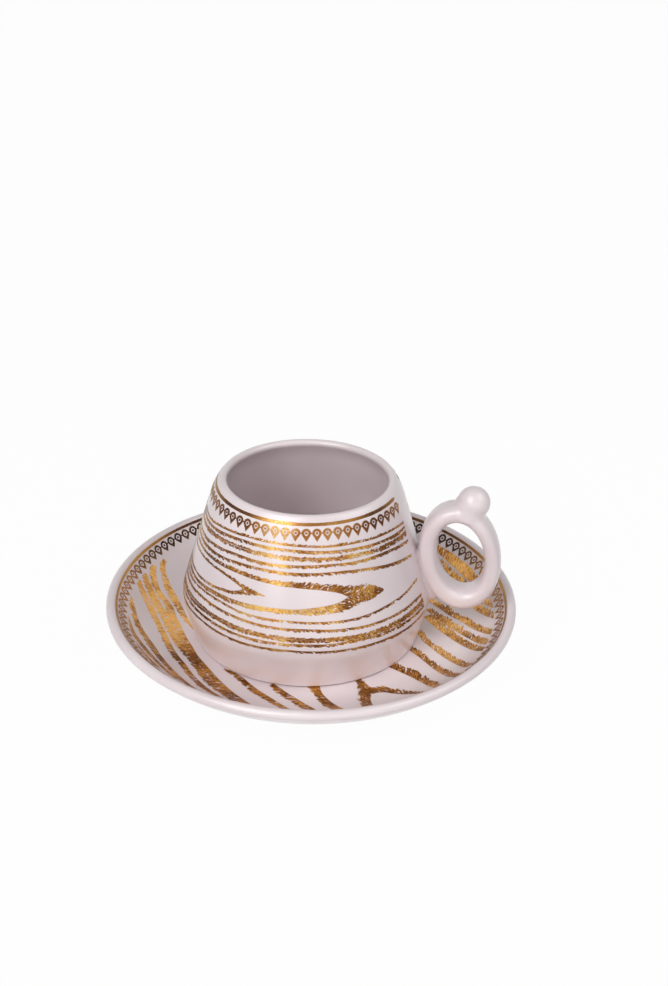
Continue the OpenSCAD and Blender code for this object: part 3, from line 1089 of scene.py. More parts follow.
@dataclass(frozen=True)
class GrainLine:
    """One line of the wood-grain transfer, along its crisp edge."""

    path: Path
    widths: tuple[float, ...]
    fringe: Fringe
    seed: int

    def level(self, run: np.ndarray, width: np.ndarray, depth: np.ndarray, style: GrainStyle) -> np.ndarray:
        """Says where the ink lies.

        Args:
            run: Places along the line, in mm.
            width: The line's width at each, in mm.
            depth: Depths from the crisp edge, in mm.
            style: How the line is drawn.

        Returns:
            A level at each depth and place, above zero where there is ink.
        """
        t, d = run[None, :], depth[:, None]
        grit = Grit(self.seed)
        swell = (width * (1 + style.swell * grit.at(run / style.swell_long, SWELL_ROW)))[None, :]
        crisp = d - style.wobble * (1 + grit.at(t / style.wobble_long, WOBBLE_ROW))
        across = np.maximum(d / swell, 0)
        slanted = t + style.slant * d
        dashes = grit.at(slanted / style.dash, d / style.dash_long + DASH_ROW)
        ink = style.surplus - style.loss * across**style.loss_power + dashes
        worn = style.solid + grit.at(slanted / style.dash + WORN_COLUMN, d / style.dash_long + WORN_ROW)
        worn = np.where(d < style.edge, 1.0, worn)
        edges = np.minimum(crisp, style.reach * swell - d)
        level = np.minimum(edges, style.noise_weight * np.minimum(ink, worn))
        level[0, :] = level[-1, :] = style.border_level
        level[:, 0] = level[:, -1] = style.border_level
        return level

    def cut(self, style: GrainStyle) -> tuple[list[Point], list[Face], list[Point]]:
        """Cuts the line out of the flat print.

        Args:
            style: How the line is drawn.

        Returns:
            The points in the flat, in mm, the faces, and each point's place along and across,
            sheared with the dashes.
        """
        places, width = smooth_path(self.path, self.widths, style.step)
        run = np.arange(len(places)) * style.step
        side = self.fringe.value
        along = np.gradient(places, axis=0)
        along /= np.linalg.norm(along, axis=1)[:, None]
        across = np.stack([-along[:, 1], along[:, 0]], 1) * side
        rows = int(math.ceil((width.max() * style.grid_reach + style.grid_spare) / style.row)) + 2
        depth = (np.arange(rows) - 1) * style.row
        flat, faces = contour(self.level(run, width, depth, style))
        points = []
        for c, r in flat:
            k = min(int(c), len(places) - 2)
            share = c - k
            place = places[k] * (1 - share) + places[k + 1] * share
            out = across[k] * (1 - share) + across[k + 1] * share
            points.append(tuple(place + out * (r - 1) * style.row))
        if side < 0:
            faces = [tuple(reversed(f)) for f in faces]
        start = RUN_GAP * self.seed
        deep = [(r - 1) * style.row for _, r in flat]
        marks = [(start + c * style.step + style.slant * d, d) for (c, _), d in zip(flat, deep)]
        return points, faces, marks


def smooth_path(
    path: Path, widths: tuple[float, ...], step: float, stretch_steps: int = 24
) -> tuple[np.ndarray, np.ndarray]:
    """Draws a smooth curve through a path's points.

    Args:
        path: The points in mm.
        widths: The width at each point in mm.
        step: The distance between samples in mm.
        stretch_steps: The steps that measure the curve between two points.

    Returns:
        The samples and the width at each.
    """
    knots = np.array(path, float)
    padded = np.vstack([2 * knots[0] - knots[1], knots, 2 * knots[-1] - knots[-2]])
    pieces = []
    ends = []
    fine = np.linspace(0, 1, stretch_steps, endpoint=False)
    u = fine[:, None]
    for k in range(len(knots) - 1):
        p0, p1, p2, p3 = padded[k : k + 4]
        square = (2 * p0 - 5 * p1 + 4 * p2 - p3) * u**2
        cube = (3 * p1 - p0 - 3 * p2 + p3) * u**3
        pieces.append(0.5 * (2 * p1 + (p2 - p0) * u + square + cube))
        ends.append(widths[k] * (1 - fine) + widths[k + 1] * fine)
    curve = np.vstack(pieces + [knots[-1:]])
    wide = np.concatenate(ends + [[widths[-1]]])
    reach = np.concatenate([[0], np.cumsum(np.linalg.norm(np.diff(curve, axis=0), axis=1))])
    count = max(int(reach[-1] / step), 2)
    at = np.linspace(0, reach[-1], count + 1)
    samples = np.stack([np.interp(at, reach, curve[:, i]) for i in (0, 1)], 1)
    return samples, np.interp(at, reach, wide)


@dataclass
class CupPrint:
    """The transfer on the cup: grain lines, two nested pointed figures, drops and a gold line."""

    cup: Cup
    lift: float = 0.05
    # Turns are laid flat at this radius
    flat_r: float = 34.0
    # Degrees that the gold line leaves bare on each side of the handle
    bare: float = 13.0
    line_drop: float = 1.9
    line_w: float = 0.8
    drops: int = 60
    drop_w: float = 2.6
    drop_l: float = 3.85
    drop_gap: float = 0.57
    first_drop: float = -15.3
    stack: float = 0.012
    # Lines change to their width beside the handle over this turn
    swell_turn: float = 80.0
    upper_lines: int = 6
    line_seed: int = 11
    arm_seed: int = 41
    band_seed: int = 77
    band_steps: int = 420
    band_rows: int = 4
    band_swell: float = 0.12
    # Degrees over which the painted line swells
    band_swell_turn: float = 5.0
    # The brush starts and ends at this share of its width, and takes so many steps to widen
    band_tip: float = 0.25
    band_tip_steps: int = 5
    line_style: GrainStyle = GrainStyle(dash=0.26, dash_long=0.6, surplus=1.2, solid=0.5)
    figure_style: GrainStyle = GrainStyle(
        dash=0.26, dash_long=0.55, surplus=1.4, loss=1.9, loss_power=3.0, solid=0.5
    )

    # Turn from the handle, then the gold's tone there: a painted reflection, low where the gold would mirror
    # a dark room and high where it would mirror a lamp.
    GLINTS = (
        (-180, 0.5), (-165, 0.6), (-155, 0.5), (-148, 0.35), (-138, 0.1), (-121, 0.15), (-114, 0.5),
        (-107, 0.7), (-94, 0.7), (-89, 0.45), (-77, 0.4), (-70, 0.6), (-63, 0.5), (-57, 0.45),
        (-50, 0.32), (-44, 0.12), (-33, 0.12), (-25, 0.4), (-15, 0.55), (20, 0.4), (60, 0.3),
        (110, 0.6), (150, 0.4), (180, 0.7),
    )

    # Width in mm, width beside the handle, ragged side, then the middle's height over the foot at
    # each turn from the handle.
    LINES = (
        (0.9, 0.9, Fringe.RIGHT, (
            (-12, 41.3), (-25, 42.2), (-40, 42.7), (-55, 43.1), (-70, 43.2), (-85, 43.5), (-113, 43.6),
            (-120, 43.3), (-130, 42.9), (-140, 42.3), (-150, 41.7), (-180, 41.6), (-215, 42.6),
            (-250, 43.3), (-290, 43.0), (-325, 42.1), (-347, 41.4),
        )),
        (1.15, 1.2, Fringe.LEFT, (
            (-12, 39.7), (-20, 39.9), (-30, 40.3), (-42, 40.7), (-55, 41.1), (-70, 41.4), (-90, 41.8),
            (-113, 41.7), (-120, 41.6), (-130, 41.1), (-140, 40.5), (-150, 40.1), (-180, 40.0),
            (-215, 40.9), (-250, 41.5), (-290, 41.1), (-325, 40.2), (-347, 39.7),
        )),
        (0.72, 1.0, Fringe.RIGHT, (
            (-12, 38.5), (-20, 38.9), (-30, 39.3), (-45, 39.6), (-55, 39.9), (-70, 40.0), (-85, 40.2),
            (-100, 40.3), (-110, 40.2), (-120, 40.1), (-130, 39.7), (-140, 39.4), (-150, 39.0),
            (-180, 38.7), (-215, 39.5), (-250, 40.2), (-290, 39.8), (-325, 39.0), (-347, 38.5),
        )),
        (0.95, 1.2, Fringe.LEFT, (
            (-12, 37.5), (-20, 38.0), (-30, 38.4), (-45, 38.9), (-55, 39.1), (-70, 39.2), (-85, 39.4),
            (-100, 39.5), (-110, 39.4), (-120, 39.2), (-130, 38.8), (-140, 38.6), (-150, 38.2),
            (-180, 38.0), (-215, 38.7), (-250, 39.4), (-290, 39.0), (-325, 38.1), (-347, 37.6),
        )),
        (1.2, 1.2, Fringe.LEFT, (
            (-12, 35.5), (-25, 36.5), (-35, 37.1), (-45, 37.3), (-55, 37.4), (-70, 37.7), (-90, 37.5),
            (-100, 37.3), (-120, 37.2), (-130, 36.7), (-140, 36.2), (-150, 35.7), (-180, 35.5),
            (-215, 36.0), (-250, 36.9), (-290, 36.8), (-325, 36.2), (-347, 35.6),
        )),
        (1.2, 1.1, Fringe.LEFT, (
            (-12, 30.9), (-15, 31.3), (-25, 32.4), (-35, 33.4), (-45, 34.4), (-50, 34.8), (-57, 35.2),
            (-65, 35.5), (-90, 35.5), (-100, 35.5), (-113, 35.3), (-120, 35.1), (-130, 34.5),
            (-150, 34.1), (-180, 33.9), (-215, 34.3), (-250, 34.8), (-285, 34.2), (-315, 32.8),
            (-347, 30.9),
        )),
        (1.0, 1.0, Fringe.LEFT, (
            (-12, 23.4), (-15, 23.6), (-20, 23.4), (-30, 22.9), (-40, 22.6), (-50, 22.1), (-60, 21.9),
            (-75, 22.1), (-90, 22.3), (-100, 22.2), (-113, 22.2), (-120, 22.5), (-130, 22.6),
            (-140, 22.3), (-150, 21.8), (-180, 21.3), (-215, 21.7), (-250, 22.1), (-290, 22.8),
            (-325, 23.6), (-347, 23.7),
        )),
        (1.1, 1.1, Fringe.LEFT, (
            (-12, 18.4), (-20, 18.8), (-30, 18.9), (-50, 19.1), (-60, 19.4), (-70, 19.7), (-80, 20.1),
            (-100, 20.1), (-120, 20.4), (-140, 20.4), (-150, 20.0), (-180, 19.6), (-215, 19.7),
            (-250, 20.2), (-290, 20.1), (-325, 19.4), (-347, 18.8),
        )),
        (0.8, 1.1, Fringe.RIGHT, (
            (-12, 17.1), (-25, 17.3), (-40, 17.3), (-60, 17.5), (-75, 17.9), (-90, 18.0), (-110, 18.1),
            (-130, 18.3), (-140, 18.2), (-150, 17.9), (-180, 17.5), (-215, 17.6), (-250, 18.1),
            (-290, 18.0), (-325, 17.5), (-347, 17.2),
        )),
        (1.05, 1.35, Fringe.LEFT, (
            (-12, 16.1), (-25, 16.3), (-40, 16.3), (-60, 16.6), (-75, 17.0), (-90, 17.1), (-110, 17.2),
            (-130, 17.4), (-140, 17.2), (-150, 16.9), (-180, 16.6), (-215, 16.7), (-250, 17.2),
            (-290, 17.1), (-325, 16.6), (-347, 16.2),
        )),
        (1.05, 1.2, Fringe.LEFT, (
            (-12, 14.8), (-30, 15.2), (-45, 15.5), (-60, 15.9), (-70, 15.7), (-80, 15.9), (-90, 15.9),
            (-110, 15.7), (-130, 15.9), (-150, 15.7), (-180, 15.3), (-215, 15.4), (-250, 15.9),
            (-290, 15.8), (-325, 15.3), (-347, 14.9),
        )),
        (1.0, 1.1, Fringe.LEFT, (
            (-12, 12.8), (-30, 13.0), (-45, 13.4), (-60, 13.6), (-80, 13.9), (-90, 14.1), (-110, 13.8),
            (-130, 14.1), (-140, 14.1), (-150, 13.8), (-180, 13.5), (-215, 13.5), (-250, 14.0),
            (-290, 14.0), (-325, 13.4), (-347, 12.9),
        )),
    )
    # Ragged side of each arm of the figures, then turn, height of the crisp inner edge, and width.
    ARMS = (
        (Fringe.RIGHT, (
            (-40.6, 27.4, 0.5), (-44, 27.9, 1.6), (-47, 28.05, 2.3), (-50, 28.15, 2.8),
            (-55, 28.3, 3.4), (-59.5, 28.45, 3.8), (-62, 29.1, 3.2), (-65, 30.0, 2.6), (-70, 30.8, 2.1),
            (-75, 31.35, 2.0), (-85, 31.85, 1.75), (-92, 31.95, 1.6), (-100, 32.15, 1.45),
            (-110, 32.4, 1.4), (-120, 32.5, 1.4), (-130, 32.3, 1.2), (-140, 32.2, 1.1),
            (-150, 32.1, 1.0), (-180, 31.9, 1.0), (-215, 31.4, 1.3), (-245, 30.3, 1.9),
            (-265, 28.9, 2.6), (-285, 27.6, 0.3),
        )),
        (Fringe.LEFT, (
            (-40.6, 27.7, 0.5), (-44, 28.1, 1.3), (-47, 28.3, 1.9), (-50, 28.4, 2.3), (-55, 28.55, 3.0),
            (-59.5, 28.7, 3.9), (-62, 28.2, 3.7), (-65, 27.5, 3.0), (-70, 27.0, 2.5), (-75, 26.7, 2.2),
            (-85, 26.05, 1.7), (-90, 25.9, 1.6), (-100, 25.65, 1.45), (-110, 25.35, 1.4),
            (-120, 25.05, 1.4), (-130, 24.75, 1.3), (-140, 24.15, 1.15), (-150, 23.75, 1.0),
            (-180, 23.9, 1.0), (-215, 24.7, 1.3), (-245, 25.8, 1.8), (-265, 26.9, 2.4),
            (-285, 27.5, 0.3),
        )),
        (Fringe.RIGHT, (
            (-100.7, 28.45, 0.3), (-104, 28.5, 0.7), (-107, 28.55, 1.0), (-110, 28.6, 1.4),
            (-113, 28.65, 1.6), (-114.2, 29.05, 1.35), (-116, 29.35, 1.2), (-120, 29.95, 1.05),
            (-125, 30.35, 0.9), (-130, 30.55, 0.85), (-140, 30.55, 0.85), (-150, 30.4, 0.8),
            (-180, 30.0, 0.8), (-205, 29.2, 0.9), (-225, 28.4, 1.0), (-240, 27.7, 0.2),
        )),
        (Fringe.LEFT, (
            (-100.7, 28.7, 0.3), (-104, 28.8, 0.5), (-107, 28.85, 0.9), (-110, 28.9, 1.4),
            (-113, 28.9, 1.7), (-114.2, 28.45, 1.4), (-116, 27.95, 1.25), (-120, 27.15, 1.1),
            (-125, 26.75, 0.95), (-130, 26.2, 0.9), (-140, 25.55, 0.85), (-150, 25.2, 0.8),
            (-180, 25.3, 0.8), (-205, 26.0, 0.9), (-225, 26.9, 1.0), (-240, 27.6, 0.2),
        )),
    )

    def flat(self, turn: float) -> float:
        """Arc length in mm for a turn in degrees."""
        return math.radians(turn) * self.flat_r

    def grain_lines(self) -> list[GrainLine]:
        """Lays the grain lines and the figures' arms flat.

        Returns:
            The lines, and after them the arms.
        """
        lines = []
        for k, (width, end_width, fringe, places) in enumerate(self.LINES):
            near = [max(1 - min(-a, 360 + a) / self.swell_turn, 0.0) for a, _ in places]
            widths = tuple(width + (end_width - width) * n for n in near)
            # A path runs towards falling turns, so its left side is below it
            path = tuple((self.flat(a), h + fringe.value * w / 2) for (a, h), w in zip(places, widths))
            lines.append(GrainLine(path, widths, fringe, self.line_seed + k))
        for k, (fringe, places) in enumerate(self.ARMS):
            path = tuple((self.flat(a), h) for a, h, _ in places)
            lines.append(GrainLine(path, tuple(w for _, _, w in places), fringe, self.arm_seed + k))
        return lines

    def build_grain(self, gold: Material) -> list[Piece]:
        """Lays the grain transfer on the wall: upper lines, lower lines and the pointed figures.

        Args:
            gold: The gold's material.

        Returns:
            The prints.
        """
        lines = self.grain_lines()
        figures = len(self.LINES)
        groups = (
            ("cup_upper_grain_gold", 0, self.upper_lines, self.line_style),
            ("cup_lower_grain_gold", self.upper_lines, figures, self.line_style),
            ("cup_figure_gold", figures, len(lines), self.figure_style),
        )
        prints = []
        for name, first, last, style in groups:
            points: list[Vector] = []
            faces: list[Face] = []
            run: list[Point] = []
            for k in range(first, last):
                flat, cut, marks = lines[k].cut(style)
                base = len(points)
                # Neighbours lie at two levels, so that lines that touch don't share a surface
                lift = self.lift + self.stack * (k % 2)
                points += [self.cup.on_wall(math.degrees(x / self.flat_r), h, lift) for x, h in flat]
                faces += [tuple(base + v for v in f) for f in cut]
                run += marks
            obj = sheet(name, points, faces, run)
            prints.append(dress_print(obj, gold, "cup_grain_print", "cup"))
        return prints

    def build_line(self, gold: Material) -> Piece:
        """Bands the gold line under the lip.

        Args:
            gold: The gold's material.

        Returns:
            The line.
        """
        grit = Grit(self.band_seed)
        middle = self.cup.height - self.line_drop
        count, rows = self.band_steps, self.band_rows
        points: list[Vector] = []
        for i in range(count + 1):
            turn = self.bare + (360 - 2 * self.bare) * i / count
            swell = self.band_swell * float(grit.at(turn / self.band_swell_turn, BAND_ROW))
            half = self.line_w / 2 * (1 + swell)
            half *= min(1.0, self.band_tip + min(i, count - i) / self.band_tip_steps)
            for j in range(rows + 1):
                points.append(self.cup.on_wall(turn, middle + half * (2 * j / rows - 1), self.lift))
        obj = sheet("cup_line_gold", points, strip_faces(count, rows))
        return dress_print(obj, gold, "cup_gold_line", "cup")

    def build_drops(self, gold: Material) -> Piece:
        """Lays the border of drops on the wall.

        Args:
            gold: The gold's material.

        Returns:
            The border.
        """
        top = self.cup.height - self.line_drop - self.line_w / 2 - self.drop_gap
        step = 360 / self.drops
        round_h = top - self.drop_w / 2 * math.cos(self.cup.lean_at(top))
        pitch = math.radians(step) * self.cup.radius(round_h)
        shape, cut = Drop(self.drop_w, self.drop_l, pitch).flat_mesh()
        count = int((360 + 2 * self.first_drop) / step) + 1
        points: list[Vector] = []
        faces: list[Face] = []
        for i in range(count):
            base = len(points)
            for u, v in shape:
                h = top - (self.drop_l - v) * math.cos(self.cup.lean_at(top))
                turn = self.first_drop - i * step + math.degrees(u / self.cup.radius(h))
                points.append(self.cup.on_wall(turn, h, self.lift))
            faces += [tuple(base + v for v in f) for f in cut]
        obj = sheet("cup_drops_gold", points, faces)
        return dress_print(obj, gold, "cup_drop_border", "cup")


def dress_print(obj: Piece, gold: Material, node: str, body: str) -> Piece:
    """Gives a print its material in its slot, hides the CAD node that it stands in for, and hangs it on its
    body.

    Args:
        obj: The print.
        gold: The gold's material.
        node: The node of the CAD model that the print stands in for.
        body: The body that it rides.

    Returns:
        The print.
    """
    finish_piece(obj, [gold], smooth_angle=60.0)
    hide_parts(node)
    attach(obj, body)
    return obj


def strip_faces(count: int, rows: int) -> list[Face]:
    """Faces of a strip of points laid out column by column.

    Args:
        count: The number of stretches along the strip.
        rows: The number of stretches across it.

    Returns:
        The faces.
    """
    wide = rows + 1
    return [
        (i * wide + j, (i + 1) * wide + j, (i + 1) * wide + j + 1, i * wide + j + 1)
        for i in range(count)
        for j in range(rows)
    ]


@dataclass
class Drop:
    """One drop of the border: an outline, a dot in its round end, and a link to the next drop."""

    width: float
    length: float
    pitch: float
    wall: float = 0.7
    dot: float = 0.38
    link: float = 0.42
    link_sunk: float = 0.03
    # The hole's point lies this much further in than its side, for the drop's steepness
    point_inset: float = 1.6
    # The point stands at least this far from the round end's centre, in radii
    point_least: float = 1.05
    sides: int = 14
    dot_sides: int = 8

    def outline(self, inset: float) -> list[Point]:
        """Draws the drop's outline, its point first.

        Args:
            inset: How far the outline is drawn in, in mm.

        Returns:
            The outline's points in mm.
        """
        r = self.width / 2 - inset
        low = inset * self.length / self.width * self.point_inset
        centre = self.length - self.width / 2
        touch = math.degrees(math.acos(r / max(centre - low, r * self.point_least)))
        return [(0.0, low)] + arc((0.0, centre), r, touch - 90, 270 - touch, self.sides)

    def flat_mesh(self) -> tuple[list[Point], list[Face]]:
        """Draws the drop in the flat, its point at the origin.

        Returns:
            The points in mm and the faces.
        """
        outer, inner = self.outline(0.0), self.outline(self.wall)
        n = len(outer)
        points = outer + inner
        faces: list[Face] = [(k, (k + 1) % n, n + (k + 1) % n, n + k) for k in range(n)]
        middle = self.length - self.width / 2
        base = len(points)
        points += arc((0.0, middle), self.dot, 0, 360, self.dot_sides)[:-1]
        faces.append(tuple(range(base, base + self.dot_sides)))
        base = len(points)
        near = self.width / 2 - self.link_sunk
        far = self.pitch - near
        half = self.link / 2
        points += [(near, middle - half), (far, middle - half), (far, middle + half), (near, middle + half)]
        faces.append((base, base + 1, base + 2, base + 3))
        return points, faces


@dataclass
class SaucerPrint:
    """The transfer on the saucer: grain strokes across it, drops and a gold line at the rim."""

    saucer: Saucer
    lift: float = 0.05
    # The strokes are cut off inside and outside these radii
    inner_r: float = 33.3
    outer_r: float = 56.2
    line_r: float = 59.4
    line_w: float = 0.55
    drops: int = 108
    drop_w: float = 2.95
    drop_l: float = 3.9
    drop_gap: float = 0.2
    stack: float = 0.012
    # Direction of the strokes behind the cup, and where they run from and to, by distance from the middle
    behind_turn: float = 129.0
    behind_from: float = 26.0
    behind_to: float = 58.0
    behind_points: int = 5
    # A stroke's bow is nil at this distance and full so much further on
    bow_from: float = 30.0
    bow_run: float = 14.0
    stroke_seed: int = 101
    behind_seed: int = 161
    band_seed: int = 78
    band_steps: int = 540
    band_rows: int = 3
    band_swell: float = 0.12
    # Steps over which the painted line swells
    band_swell_steps: float = 8.0
    style: GrainStyle = GrainStyle(
        step=0.2, row=0.18, dash=0.32, slant=0.9, surplus=1.4, loss=2.2, loss_power=3.0, solid=0.6
    )

    # Turn from the handle, then the gold's tone there, on the strokes, the drops and the line: a painted
    # reflection, dark where the gold would mirror a dark room and bright where it would mirror a lamp.
    STROKE_GLINTS = (
        (-180, 0.95), (-168, 0.9), (-158, 0.65), (-150, 0.42), (-120, 0.36), (-60, 0.4), (-40, 0.45),
        (-22, 0.6), (-8, 0.85), (10, 0.9), (18, 0.75), (30, 0.55), (42, 0.4), (90, 0.1), (140, 0.0),
        (155, 0.2), (165, 0.85), (180, 0.95),
    )
    DROP_GLINTS = (
        (-180, 0.5), (-160, 0.6), (-130, 0.5), (-90, 0.4), (-50, 0.35), (0, 0.5), (20, 0.5), (28, 0.4),
        (36, 0.12), (44, 0.0), (155, 0.0), (168, 0.25), (180, 0.5),
    )
    LINE_GLINTS = (
        (-180, 0.75), (-150, 0.8), (-120, 0.6), (-60, 0.5), (-20, 0.55), (10, 0.75), (26, 0.75),
        (36, 0.35), (44, 0.1), (148, 0.0), (158, 0.5), (170, 0.7), (180, 0.75),
    )

    # Ragged side of each stroke, then plan place in mm of its crisp edge and the width there.
    STROKES = (
        (Fringe.RIGHT, (
            (-51.3, 18.5, 1.6), (-50.9, 15, 2.0), (-47.9, 9.9, 2.5), (-44.2, 4.9, 3.4), (-41.2, 0, 2.7),
            (-38.3, -5.1, 2.0), (-36.2, -8.5, 1.0), (-34.5, -11.5, 0.3),
        )),
        (Fringe.RIGHT, (
            (-21, -29.3, 0.9), (-18, -30.6, 1.6), (-15, -32.6, 2.2), (-10, -37.2, 2.5),
            (-4.5, -41.4, 2.5), (0, -45.4, 2.5), (3, -48.5, 2.5),
        )),
        (Fringe.RIGHT, (
            (-53.4, 13.5, 1.8), (-52.4, 9.9, 2.5), (-49.6, 4.9, 2.7), (-44.6, 0, 3.1), (-42, -5.1, 3.2),
            (-39, -10.1, 3.0), (-36.2, -15.1, 2.6), (-33.2, -19.7, 2.5), (-29.8, -24.9, 2.5),
            (-25.4, -30.1, 2.5), (-21.2, -35.1, 2.6), (-16.6, -40.1, 2.5), (-12.8, -43.8, 2.5),
            (-8, -48.5, 2.5),
        )),
        (Fringe.RIGHT, (
            (-55, 8, 2.2), (-52.3, 4.4, 2.7), (-48.8, -0.1, 3.1), (-45, -5.1, 3.0), (-41.7, -10.1, 3.2),
            (-38.8, -15.1, 3.1), (-35.6, -19.7, 2.8), (-31.6, -24.9, 2.5), (-28, -30.1, 2.4),
            (-24, -35.1, 2.7), (-19.3, -40.1, 2.6), (-15.4, -43.8, 2.6), (-11, -48, 2.6),
        )),
        (Fringe.RIGHT, (
            (-56, 4, 2.0), (-52.9, -0.1, 2.4), (-48.9, -5.1, 2.6), (-45.9, -10.1, 2.2),
            (-42.6, -15.1, 2.6), (-39.9, -19.7, 2.4), (-36.7, -24.9, 2.4), (-32.5, -30.1, 2.4),
            (-28.9, -35.1, 2.4), (-24.6, -40.1, 2.2), (-21, -43.5, 2.2), (-17, -47, 2.2),
        )),
        (Fringe.RIGHT, (
            (-56, -5.5, 1.9), (-53.5, -10.1, 2.1), (-51, -15.1, 2.1), (-47.9, -19.7, 2.4),
            (-43.5, -24.9, 2.4), (-39.6, -30.1, 2.2), (-35.4, -35.1, 2.1), (-30.8, -40.1, 2.0),
            (-28.3, -42.6, 2.0), (-25, -46, 2.0),
        )),
        (Fringe.RIGHT, (
            (-56, -12.5, 1.6), (-51.9, -19.7, 1.9), (-48.7, -24.9, 1.9), (-44.8, -29, 1.9),
            (-40.5, -33.5, 1.9), (-36, -38, 1.8), (-31, -42.5, 1.8),
        )),
        (Fringe.RIGHT, (
            (-54.5, -21.5, 1.6), (-51.5, -26, 1.7), (-46.5, -31, 1.7), (-42, -35.5, 1.6),
            (-37, -40, 1.6),
        )),
        (Fringe.RIGHT, (
            (-5.5, -34.0, 2.0), (-1, -37.6, 2.8), (3, -40.6, 3.0), (7.5, -44.5, 3.0), (11, -48.5, 2.9),
        )),
        (Fringe.RIGHT, (
            (7.7, -32.6, 3.8), (9, -36, 2.9), (11.2, -38.9, 3.2), (14.2, -42.2, 3.7), (17, -45, 3.8),
            (20, -49, 3.6),
        )),
        (Fringe.LEFT, (
            (25.2, -19.4, 3.4), (26.7, -20.4, 3.5), (30, -22.2, 3.6), (33.3, -24.3, 3.6),
            (35.8, -26.8, 3.4), (37.7, -29.3, 3.1), (39.4, -32.2, 3.4), (41.5, -36.5, 3.1),
        )),
        (Fringe.LEFT, (
            (30.6, -9.4, 2.4), (31.9, -10.8, 2.6), (34.6, -13.5, 2.8), (37.1, -16.4, 2.8),
            (39.2, -19.3, 2.8), (41.7, -23.1, 2.8), (43.8, -26.8, 2.7), (46.5, -31.5, 2.5),
        )),
        (Fringe.LEFT, (
            (32.4, -0.2, 2.5), (33.8, -2.2, 2.8), (35.4, -5.2, 2.8), (38.3, -8.5, 2.9),
            (41.2, -12.2, 2.9), (44.2, -16.4, 2.8), (46.7, -20.6, 2.8), (48.3, -23.9, 2.6),
            (50.5, -27, 2.2),
        )),
        (Fringe.LEFT, (
            (34.2, 8.7, 3.9), (35.8, 6.5, 4.4), (38.3, 3.2, 4.3), (41.7, -0.6, 3.8), (45, -4.8, 3.1),
            (47.9, -8.9, 2.7), (50.8, -13.5, 2.6), (53.3, -17.2, 2.5),
        )),
        (Fringe.LEFT, (
            (34.6, 13, 2.5), (36.8, 10.2, 3.0), (39.9, 6.7, 3.4), (43.6, 2.7, 3.2), (46.7, -1.5, 3.0),
            (49.3, -5.2, 2.8), (51.9, -9.7, 2.6), (54.6, -14, 2.2),
        )),
        (Fringe.LEFT, (
            (34, 19.2, 2.5), (36.5, 16.5, 2.8), (39.6, 13.2, 3.0), (42.1, 10.2, 3.0), (45, 7.3, 2.9),
            (47.5, 4, 2.8), (50, 0.2, 2.7), (52.5, -3.5, 2.5), (55.6, -8.5, 2.2),
        )),
        (Fringe.LEFT, (
            (36, 30, 2.6), (42, 21.5, 2.8), (46, 16, 2.8), (49.2, 11.9, 2.7), (50.8, 9, 2.6),
            (52.9, 5.7, 2.5), (55, 2.3, 2.2), (57, -1.5, 2.0),
        )),
        (Fringe.LEFT, (
            (36, 36.5, 2.5), (41, 29, 2.9), (45.5, 22.8, 2.9), (49.5, 16.5, 2.7), (52, 12.3, 2.5),
            (54.2, 9, 2.2), (56.6, 5, 2.0),
        )),
        (Fringe.LEFT, (
            (31, 46.5, 2.7), (36.5, 40, 3.6), (41.5, 33.6, 3.8), (46, 27, 3.6), (50.5, 20, 3.1),
            (55.5, 12.5, 2.5),
        )),
    )
    # The forked figure at the front: both arms' crisp inner edges, with the width at each point.
    FORK = (
        (Fringe.RIGHT, (
            (18.6, -26.8, 1.6), (19.6, -28.3, 2.1), (21.6, -31.5, 3.2), (23.0, -34.9, 4.1),
            (23.1, -37.2, 4.0), (23.8, -40.2, 3.6), (24.9, -44, 3.4), (26.2, -49, 3.2),
        )),
        (Fringe.LEFT, (
            (19.6, -28.6, 0.5), (21.2, -31.4, 1.2), (22.6, -34.0, 2.8), (23.4, -34.3, 3.4),
            (24.6, -33.7, 3.6), (26.7, -33.3, 3.5), (29.2, -34.1, 3.5), (32.5, -35.2, 3.1),
            (35.8, -36.4, 2.2), (38.5, -37.6, 1.4), (42, -39, 0.6),
        )),
    )
    # Strokes behind the cup, by their distance from the figure's axis, with their width and bow.
    BEHIND = (
        (-11.5, 2.4, 1.2), (-3.0, 2.2, 0.8), (5.0, 3.0, 0.3), (13.5, 2.4, -0.4), (21.5, 2.8, -0.8),
        (29.5, 2.4, -1.2),
    )

    def strokes(self) -> list[GrainLine]:
        """Lays out every stroke as a grain line in plan.

        Returns:
            The strokes, those behind the cup last.
        """
        lines = []
        for k, (side, places) in enumerate(self.STROKES + self.FORK):
            path = tuple((x, y) for x, y, _ in places)
            lines.append(GrainLine(path, tuple(w for _, _, w in places), side, self.stroke_seed + k))
        run, out = math.radians(self.behind_turn), math.radians(self.behind_turn - 90)
        for k, (offset, width, bow) in enumerate(self.BEHIND):
            path = []
            for s in np.linspace(self.behind_from, self.behind_to, self.behind_points):
                n = offset + bow * (s - self.bow_from) / self.bow_run
                path.append((s * math.cos(run) + n * math.cos(out), s * math.sin(run) + n * math.sin(out)))
            side = Fringe.LEFT if offset < 0 else Fringe.RIGHT
            lines.append(GrainLine(tuple(path), (width,) * len(path), side, self.behind_seed + k))
        return lines

    def on_dish(self, x: float, y: float, lift: float) -> Vector:
        """A point on the saucer's upper face.

        Args:
            x: Place along X, in mm.
            y: Place along Y, in mm.
            lift: Distance over the glaze, in mm.

        Returns:
            The point in metres.
        """
        r = math.hypot(x, y)
        rise = max(r - self.saucer.well_r, 0) / self.saucer.sweep_r
        lean = math.asin(min(rise, self.saucer.sweep_share))
        inward = lift * math.sin(lean) / max(r, 1.0)
        z = self.saucer.height(r) + lift * math.cos(lean)
        return Vector((x * (1 - inward) * MM, y * (1 - inward) * MM, z * MM))

    def build_grain(self, gold: Material) -> Piece:
        """Lays the grain transfer on the saucer, between the well's bare middle and the drops.

        Args:
            gold: The gold's material.

        Returns:
            The print.
        """
        points: list[Vector] = []
        faces: list[Face] = []
        run: list[Point] = []
        for order, line in enumerate(self.strokes()):
            flat, cut, marks = line.cut(self.style)
